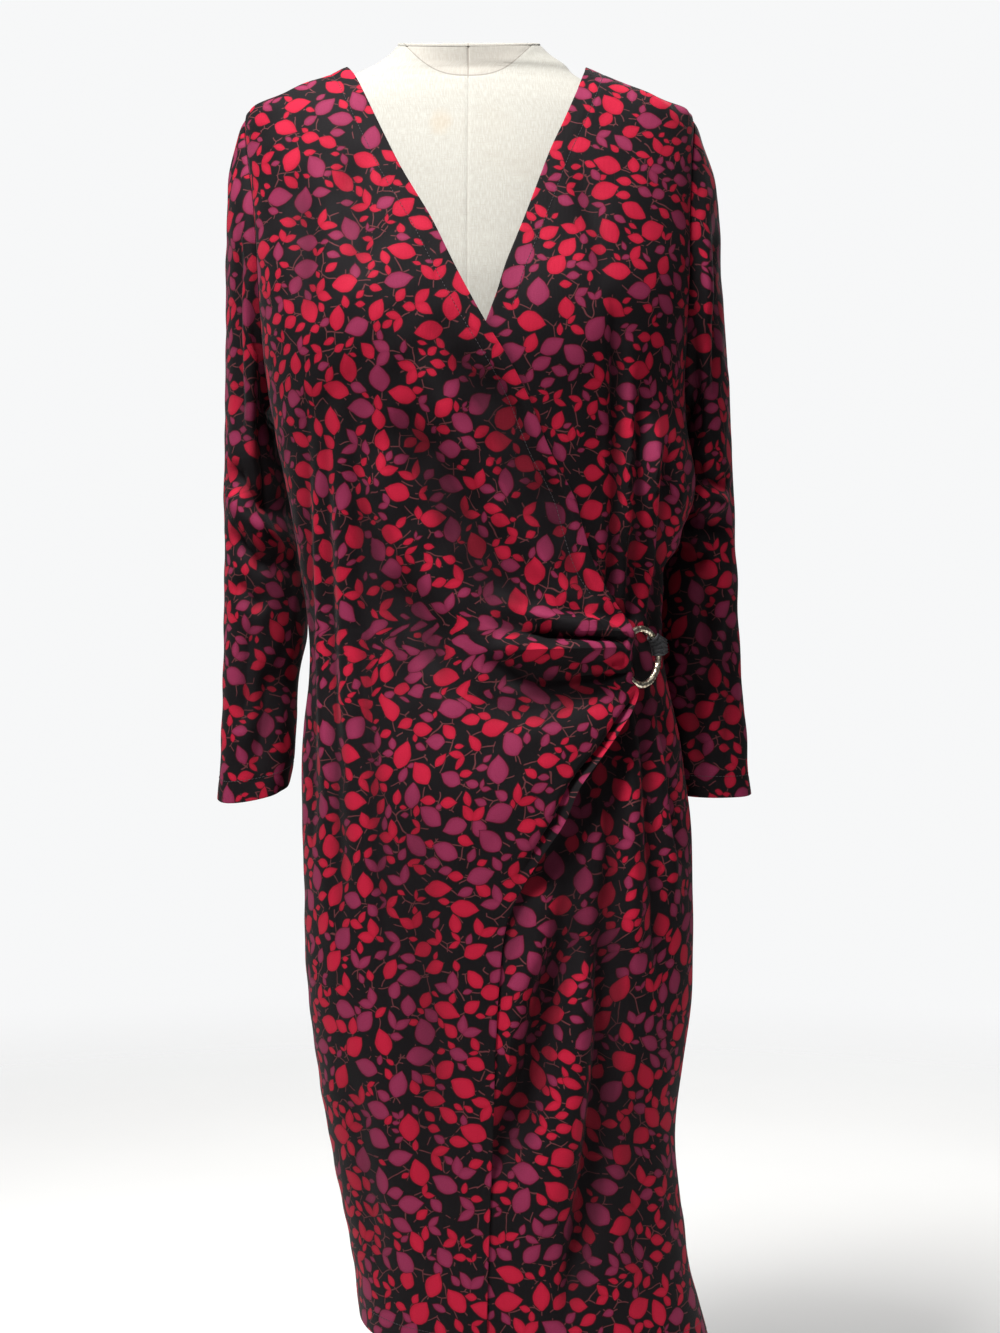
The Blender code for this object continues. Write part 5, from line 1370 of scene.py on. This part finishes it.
def sleeve(name, table, side, tip, frontFolds, shift):
    around = dress["sleeveColumns"]
    turn = np.linspace(0.0, 2.0 * math.pi, around, endpoint=False)
    coarse = sleeveLoops(table, side, tip, turn)
    key = rowKey(coarse)
    points = denseRows(coarse, key, hemSteps(key[-1], dress["sleeveRows"]))
    # the mesh starts and ends at the seam under the arm
    turns = int(-side)
    start = around // 2 if turns > 0 else around // 2 - 1
    points = np.roll(points[:, ::turns], -start, axis=1)
    turn = np.roll(turn[::turns], -start)
    facing = np.broadcast_to(np.sin(turn), points.shape[:2])
    normals = gridNormals(points, True)
    top, low = edgeDistance(points)[2:]
    x, z = points[..., 0], points[..., 2]
    front = smoothStep(-0.12, 0.25, facing)
    behind = smoothStep(0.05, -0.35, facing)
    aside = x - x.mean(axis=1, keepdims=True)
    pressed = foldRelief(x, z, frontFolds, dress["sleeveFolds"]) * front
    pressed += foldRelief(aside, z, sleeveBack, dress["elbowFolds"]) * behind
    pressed = pressed * smoothStep(0.0, 0.030, top)
    relief = pressed + softWaves(x + points[..., 1], z, 51 + turns, 0.0006) * smoothStep(0.0, 0.02, top)
    # small gathers where the cap is eased into the armhole
    relief += 0.0007 * np.sin(facing * 14.0) * np.exp(-((top - 0.012) / 0.010) ** 2)
    relief -= seamValley(top) + stitchDent(low, "hemBand")
    fromSeam = np.minimum(np.arange(around), around - np.arange(around)) * 0.0028
    relief -= 0.0008 * np.exp(-(fromSeam / 0.003) ** 2)
    points = points + normals * relief[..., None]
    flat = sleeveFlat(np.concatenate([points, points[:, :1]], axis=1), table, around // 2, shift)
    normals = gridNormals(points, True)
    extra = dress["bandExtra"] * turnedUnder(low, "hemBand")
    # painted shade on the side next to the body, above all near the armpit
    shade = dress["sleeveShade"] * smoothStep(0.45, -0.55, np.cos(turn))
    shade = shade * (0.35 + 0.65 * smoothStep(0.80, 0.98, z))
    # the fold hollows get painted shade as well
    item = clothShell(name, points, normals, flat, extra, low, shade - pressed, True)
    return {"item": item, "points": points, "normals": normals, "hem": low}


over = overFront()
under = underFront()
back = backPanel()
armRight = sleeve("sleeveRight", sleeveRight, -1.0, dress["tipRight"], sleeveRightFront, (0.71, 0.13))
armLeft = sleeve("sleeveLeft", sleeveLeft, 1.0, dress["tipLeft"], sleeveLeftFront, (1.13, 0.31))
print("stage: cloth panels")

# stitches: a line of points becomes a row of small thread bars
stitch = {"pitch": 0.0033, "length": 0.0023, "radius": 0.00024, "above": 0.00008}


def threadTree():
    tree = bpy.data.node_groups.new("threadStitches", "GeometryNodeTree")
    face = tree.interface
    face.new_socket("Geometry", in_out="INPUT", socket_type="NodeSocketGeometry")
    for label in ("Stitch pitch", "Stitch length", "Thread radius"):
        face.new_socket(label, in_out="INPUT", socket_type="NodeSocketFloat")
    face.new_socket("Thread", in_out="INPUT", socket_type="NodeSocketMaterial")
    face.new_socket("Geometry", in_out="OUTPUT", socket_type="NodeSocketGeometry")
    made = {}
    for label, kind in (
            ("start", "NodeGroupInput"), ("line", "GeometryNodeMeshToCurve"),
            ("even", "GeometryNodeResampleCurve"), ("tangent", "GeometryNodeInputTangent"),
            ("turn", "FunctionNodeAlignRotationToVector"), ("bar", "GeometryNodeMeshCylinder"),
            ("set", "GeometryNodeInstanceOnPoints"), ("real", "GeometryNodeRealizeInstances"),
            ("soft", "GeometryNodeSetShadeSmooth"), ("dye", "GeometryNodeSetMaterial"),
            ("end", "NodeGroupOutput")):
        made[label] = tree.nodes.new(kind)
    made["even"].mode = "LENGTH"
    made["turn"].axis = "Z"
    made["bar"].inputs["Vertices"].default_value = 6
    for source, given, target, taken in (
            ("start", "Geometry", "line", "Mesh"), ("line", "Curve", "even", "Curve"),
            ("start", "Stitch pitch", "even", "Length"), ("tangent", "Tangent", "turn", "Vector"),
            ("start", "Thread radius", "bar", "Radius"), ("start", "Stitch length", "bar", "Depth"),
            ("even", "Curve", "set", "Points"), ("bar", "Mesh", "set", "Instance"),
            ("turn", "Rotation", "set", "Rotation"), ("set", "Instances", "real", "Geometry"),
            ("real", "Geometry", "soft", "Geometry"), ("soft", "Geometry", "dye", "Geometry"),
            ("start", "Thread", "dye", "Material"), ("dye", "Geometry", "end", "Geometry")):
        tree.links.new(made[source].outputs[given], made[target].inputs[taken])
    return tree


stitchTree = threadTree()


def stitchRow(name, lines):
    vertices, edges = [], []
    for line in lines:
        first = len(vertices)
        vertices += [tuple(point) for point in line]
        edges += [(first + i, first + i + 1) for i in range(len(line) - 1)]
    mesh = bpy.data.meshes.new(name + "Path")
    mesh.from_pydata(vertices, edges, [])
    host = bpy.data.objects.new(name + "Path", mesh)
    bpy.context.scene.collection.objects.link(host)
    modifier = host.modifiers.new("stitches", "NODES")
    modifier.node_group = stitchTree
    values = {"Stitch pitch": stitch["pitch"], "Stitch length": stitch["length"],
              "Thread radius": stitch["radius"], "Thread": darkThread}
    for socket in stitchTree.interface.items_tree:
        if socket.in_out == "INPUT" and socket.name in values:
            modifier[socket.identifier] = values[socket.name]
    bpy.context.view_layer.update()
    seen = host.evaluated_get(bpy.context.evaluated_depsgraph_get())
    made = bpy.data.meshes.new_from_object(seen)
    made.name = name
    item = bpy.data.objects.new(name, made)
    bpy.context.scene.collection.objects.link(item)
    bpy.data.objects.remove(host, do_unlink=True)
    return item


def stitchLine(panel, gap, band, byRows, rows=slice(None), columns=slice(None)):
    # where the distance to the edge reaches the band's width, in each row or in each column
    points, normals, distance = (panel[key][rows][:, columns] for key in ("points", "normals", gap))
    if not byRows:
        points, normals, distance = points.transpose(1, 0, 2), normals.transpose(1, 0, 2), distance.T
    line = []
    for row, facing, gaps in zip(points, normals, distance):
        if gaps.max() < dress[band]:
            continue
        order = np.argsort(gaps)
        spot = [np.interp(dress[band], gaps[order], row[order, axis]) for axis in range(3)]
        out = [np.interp(dress[band], gaps[order], facing[order, axis]) for axis in range(3)]
        line.append(np.array(spot) + unit(np.array(out)) * (dress["wall"] / 2.0 + stitch["above"]))
    return line


overStitches = stitchRow("overFrontStitches", [
    stitchLine(over, "neck", "neckBand", True, over["neckPart"]),
    stitchLine(over, "hem", "hemBand", False, columns=slice(3, -14))])
underStitches = stitchRow("underFrontStitches", [
    stitchLine(under, "neck", "neckBand", True, under["neckPart"]),
    stitchLine(under, "hem", "hemBand", False, columns=slice(3, -5))])
backStitches = stitchRow("backStitches", [
    stitchLine(back, "neck", "neckBand", False, columns=back["neckPart"]),
    stitchLine(back, "hem", "hemBand", False, columns=slice(3, -3))])
rightLine = stitchLine(armRight, "hem", "hemBand", False)
leftLine = stitchLine(armLeft, "hem", "hemBand", False)
rightCuffStitches = stitchRow("rightCuffStitches", [rightLine + rightLine[:1]])
leftCuffStitches = stitchRow("leftCuffStitches", [leftLine + leftLine[:1]])
print("stage: stitches")


# ring and its tab
def hammeredRing():
    around, sides = ringLook["around"], ringLook["sides"]
    rolls = [2.0 * math.pi * j / sides for j in range(sides)]
    places = [(2.0 * math.pi * i / around, roll) for i in range(around) for roll in rolls]
    points = np.array([roundBar(turn, roll, ringLook["bar"]) for turn, roll in places])
    normals = unit(points - np.array([roundBar(turn, roll, 0.0) for turn, roll in places]))
    dice = np.random.default_rng(5)
    dents = np.zeros(len(points))
    for spot in dice.choice(len(points), ringLook["dents"], replace=False):
        size = dice.uniform(*ringLook["dentSize"])
        gap = np.linalg.norm(points - points[spot], axis=1)
        dents = np.maximum(dents, np.exp(-(gap / size) ** 2) * dice.uniform(0.6, 1.0))
    points = points - normals * (ringLook["dent"] * dents)[:, None]
    faces = []
    for i in range(around):
        n = (i + 1) % around
        for j in range(sides):
            k = (j + 1) % sides
            faces.append((i * sides + j, n * sides + j, n * sides + k, i * sides + k))
    return addMesh("hammeredRing", points, faces, [gold])


def ringTab():  # gathered strip from the side seam, hooked round the bar
    look = tabLook
    hooked, straight = look["hooked"], look["straight"]
    reach = ringLook["bar"] + look["thick"] / 2.0 + 0.0009
    rolls = [math.radians(200.0 - 235.0 * step / hooked) for step in range(hooked + 1)]
    levels = np.linspace(1.0, -1.0, look["across"])
    lines = []
    for level in levels:
        path = [roundBar(look["turn"] + look["reach"] * level, roll, reach) for roll in rolls]
        last = path[-1]
        height = ringLook["z"] + 0.010 + look["end"] * level / 2.0
        out = outward(look["endAngle"], height) * (0.0008 + look["thick"] / 2.0 + 0.0030)
        target = plainPoint(look["endAngle"], height) + out
        path += [last + (target - last) * step / straight for step in range(1, straight + 1)]
        lines.append(path)
    grid = np.array(lines)
    along = np.concatenate([np.linspace(0.0, 1.0, hooked), np.ones(straight + 1)])
    pleats = look["pleat"] * np.cos(levels * 13.0)[:, None] * along[None, :]
    grid = grid + gridNormals(grid) * pleats[..., None]
    normals = gridNormals(np.array(lines))
    step = np.linalg.norm(np.diff(grid, axis=1), axis=-1)
    walked = np.concatenate([np.zeros((len(levels), 1)), np.cumsum(step, axis=1)], axis=1)
    flat = np.stack([walked, np.broadcast_to(levels[:, None] * 0.010, walked.shape)], axis=-1)
    edge = np.clip((1.0 - np.abs(levels)) / 0.06, 0.0, 1.0)
    thick = normals * (look["thick"] / 2.0 * np.sqrt(edge * 0.85 + 0.15))[:, None, None]
    return shellItem("ringTabStrip", grid + thick, grid - thick, flat, False, (bandBlack, bandBlack))


ring = hammeredRing()
tab = ringTab()
print("stage: ring and tab")

# display form; each ring's height, half width, front depth, back depth, middle x, lean forward
formLook = {
    "top": 1.4600, "capTop": 1.4625, "bottom": 0.660, "squareness": 2.2,
    "seamDepth": 0.0007, "seamHalf": 0.0011,
    "neck": (0.0655, 0.0475, 0.0550, 0.0, 0.34), "neckSides": 112,
    "poleRadius": 0.014, "baseRadius": 0.170, "baseHeight": 0.014,
}
formRings = (
    (0.6600, 0.1420, 0.0930, 0.0900, 0.0200, 0.0), (0.6640, 0.1510, 0.0985, 0.0950, 0.0200, 0.0),
    (0.6900, 0.1590, 0.1030, 0.1010, 0.0200, 0.0), (0.7400, 0.1615, 0.1060, 0.1050, 0.0195, 0.0),
    (0.7900, 0.1575, 0.1060, 0.1070, 0.0180, 0.0), (0.8400, 0.1500, 0.1010, 0.1040, 0.0165, 0.0),
    (0.8900, 0.1400, 0.0940, 0.0980, 0.0140, 0.0), (0.9400, 0.1345, 0.0900, 0.0920, 0.0105, 0.0),
    (0.9900, 0.1365, 0.0940, 0.0910, 0.0075, 0.0), (1.0500, 0.1460, 0.1060, 0.0970, 0.0055, 0.0),
    (1.1100, 0.1580, 0.1190, 0.1060, 0.0040, 0.0), (1.1700, 0.1705, 0.1290, 0.1120, 0.0030, 0.0),
    (1.2200, 0.1785, 0.1255, 0.1140, 0.0020, 0.0), (1.2700, 0.1855, 0.1140, 0.1110, 0.0015, 0.0),
    (1.3100, 0.1900, 0.1020, 0.1050, 0.0010, 0.0), (1.3430, 0.1920, 0.0900, 0.0960, 0.0005, 0.0),
    (1.3640, 0.1915, 0.0810, 0.0880, 0.0000, 0.0), (1.3770, 0.1895, 0.0750, 0.0820, 0.0000, 0.0),
    (1.3855, 0.1850, 0.0710, 0.0780, -0.0020, 0.0), (1.3920, 0.1770, 0.0680, 0.0750, -0.0030, 0.0),
    (1.4010, 0.1590, 0.0630, 0.0710, -0.0040, 0.0), (1.4110, 0.1375, 0.0570, 0.0650, -0.0050, 0.0),
    (1.4215, 0.1180, 0.0510, 0.0590, -0.0055, 0.04), (1.4320, 0.1005, 0.0480, 0.0560, -0.0040, 0.12),
    (1.4435, 0.0850, 0.0475, 0.0550, 0.0010, 0.24), (1.4515, 0.0740, 0.0475, 0.0550, 0.0005, 0.30),
    (1.4600, 0.0655, 0.0475, 0.0550, 0.0000, 0.34),
)


def formLoop(rows, heights, turns, squared):
    half, front, deep, middle, lean = (smoothCurve(rows, column, heights)[:, None] for column in range(1, 6))
    s, c = np.sin(turns)[None, :], np.cos(turns)[None, :]
    power = 2.0 / squared
    x = middle + half * np.sign(s) * np.abs(s) ** power
    y = -np.where(c > 0.0, front, deep) * np.sign(c) * np.abs(c) ** power
    return np.stack([x, y, heights[:, None] + lean * y], axis=-1)


def closedRings(name, points, materials, flat):
    rows, around = points.shape[:2]
    faces, places = [], []
    for i in range(rows - 1):
        for j in range(around):
            k = (j + 1) % around
            faces.append((i * around + j, i * around + k, (i + 1) * around + k, (i + 1) * around + j))
            places += [(i, j), (i, j + 1), (i + 1, j + 1), (i + 1, j)]
    faces.append(tuple(reversed(range(around))))
    places += [(0, j) for j in reversed(range(around))]
    faces.append(tuple(range((rows - 1) * around, rows * around)))
    places += [(rows - 1, j) for j in range(around)]
    item = addMesh(name, points.reshape(-1, 3), faces, materials, 40.0)
    layer = item.data.uv_layers.new(name="cloth")
    layer.data.foreach_set("uv", np.array([flat[i, j] for i, j in places]).reshape(-1))
    return item


def flatRound(points):  # measured both ways from the front
    wrapped = np.concatenate([points, points[:, :1]], axis=1)
    step = np.hypot(np.diff(wrapped[..., 0], axis=1), np.diff(wrapped[..., 1], axis=1))
    walked = np.concatenate([np.zeros((len(points), 1)), np.cumsum(step, axis=1)], axis=1)
    middle = wrapped.shape[1] // 2
    return np.stack([walked - walked[:, middle:middle + 1], wrapped[..., 2]], axis=-1)


def linenForm():
    rows = ([0.6600, 0.6606, 0.6618, 0.6640, 0.668], np.arange(0.675, 1.405, 0.0075),
            np.arange(1.405, formLook["top"], 0.0014), [formLook["top"]])
    near = np.array([0.004, 0.009, 0.015, 0.024, 0.036])
    half = np.concatenate([near, np.linspace(0.05, math.pi - 0.05, 62), math.pi - near[::-1]])
    turns = np.concatenate([[-math.pi], -half[::-1], [0.0], half])
    points = formLoop(formRings, np.concatenate(rows), turns, formLook["squareness"])
    normals = gridNormals(points, True) * -1.0
    x, y, z = points[..., 0], points[..., 1], points[..., 2]
    neckLine = neckSeam["low"] + neckSeam["rise"] * np.abs(x / neckSeam["wide"]) ** neckSeam["bend"]
    seams = np.exp(-((z - neckLine) / formLook["seamHalf"]) ** 2) * (y < 0.02)
    seams += np.exp(-((z - 1.462 - 0.10 * (y - 0.05)) / formLook["seamHalf"]) ** 2) * (y > 0.02)
    seams += np.exp(-(x / formLook["seamHalf"]) ** 2) * (y != 0.0)
    relief = -formLook["seamDepth"] * np.clip(seams, 0.0, 1.0)
    relief += 0.0004 * np.sin(31.0 * x + 17.0 * z) * np.sin(23.0 * z - 9.0 * x)
    points = points + normals * relief[..., None]
    return closedRings("linenForm", points, [linen], flatRound(points))


def neckTop():
    half, front, deep, middle, lean = formLook["neck"]
    rows = []
    for height, inset in ((formLook["top"] + 0.0001, 0.0), (formLook["capTop"] - 0.0010, 0.0),
                          (formLook["capTop"] - 0.0004, 0.0004), (formLook["capTop"], 0.0014)):
        rows.append((height, half - inset, front - inset, deep - inset, middle, lean))
    turns = np.linspace(-math.pi, math.pi, formLook["neckSides"], endpoint=False)
    points = formLoop(rows, np.array([row[0] for row in rows]), turns, formLook["squareness"])
    inner = []
    for share in (0.96, 0.90, 0.8, 0.6, 0.4, 0.2, 0.05):
        centre = points[-1].mean(axis=0)
        loop = centre + (points[-1] - centre) * share
        loop[:, 2] -= 0.0005 * (1.0 - share)
        inner.append(loop)
    points = np.concatenate([points, np.array(inner)])
    flat = flatRound(points)
    wrapped = np.concatenate([points, points[:, :1]], axis=1)
    flat[len(rows):] = wrapped[len(rows):, :, :2] + 0.5
    return closedRings("neckTop", points, [linen], flat)


def turnedShape(name, profile, sides, material):
    turns = np.linspace(-math.pi, math.pi, sides, endpoint=False)
    middle = formRings[0][4]
    points = np.array([[(middle + radius * math.sin(t), -radius * math.cos(t), height) for t in turns]
                       for height, radius in profile])
    return closedRings(name, points, [material], flatRound(points))


def roundedEdge(height, radius, size, up):
    steps = [math.radians(15.0 * step) for step in range(7)]
    if up:
        return [(height - size + size * math.sin(a), radius - size + size * math.cos(a)) for a in steps]
    return [(height + size - size * math.cos(a), radius - size + size * math.sin(a)) for a in steps]


form = linenForm()
cap = neckTop()
poleProfile = roundedEdge(formLook["baseHeight"] + 0.0003, formLook["poleRadius"], 0.0006, False)
poleProfile += [(h, formLook["poleRadius"]) for h in np.linspace(0.03, 0.64, 12)]
poleProfile += roundedEdge(formLook["bottom"] - 0.0003, formLook["poleRadius"], 0.0006, True)
pole = turnedShape("standPole", poleProfile, 64, steel)
baseProfile = roundedEdge(0.0, formLook["baseRadius"], 0.002, False)
baseProfile += roundedEdge(formLook["baseHeight"], formLook["baseRadius"], 0.004, True)
baseProfile += [(formLook["baseHeight"], r) for r in (0.150, 0.120, 0.080, 0.040)]
base = turnedShape("standBase", baseProfile, 128, paint)
print("stage: form and stand")

# floor
floorMesh = bpy.data.meshes.new("studioFloor")
floorMesh.from_pydata([(-14, -14, 0), (14, -14, 0), (14, 14, 0), (-14, 14, 0)], [], [(0, 1, 2, 3)])
floorMesh.materials.append(floorTone)
floor = bpy.data.objects.new("studioFloor", floorMesh)
bpy.context.scene.collection.objects.link(floor)

# what each piece stands for, rides on and is cut from
pieces = (
    (over["item"], "front_right_over", "printed_jersey"),
    (under["item"], "front_left_under", "printed_jersey"),
    (back["item"], "back", "printed_jersey"),
    (armRight["item"], "sleeve_right", "printed_jersey"),
    (armLeft["item"], "sleeve_left", "printed_jersey"),
    (ring, "ring", "light_gold"),
    (tab, "ring_tab", "black_band"),
    (form, "form_body", "linen"),
    (cap, "neck_cap", "linen"),
    (pole, "pole", "pole_steel"),
    (base, "base", "base_paint"),
    (overStitches, None, "printed_jersey"),
    (underStitches, None, "printed_jersey"),
    (backStitches, None, "printed_jersey"),
    (rightCuffStitches, None, "printed_jersey"),
    (leftCuffStitches, None, "printed_jersey"),
)
for piece, node, slot in pieces:
    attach(piece, "root")
    if node:
        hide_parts(node)

sheets = (
    # panel, flat width and length, how it's held, its stitches
    (over, (0.42, 1.20), "gathered", overStitches),
    (under, (0.36, 1.20), "draped", underStitches),
    (back, (0.56, 1.22), "draped", backStitches),
    (armRight, (0.36, 0.64), "hung", rightCuffStitches),
    (armLeft, (0.36, 0.64), "hung", leftCuffStitches),
)
for panel, size, held, stitches in sheets:
    piece = panel["item"]
    sheetArea(piece)
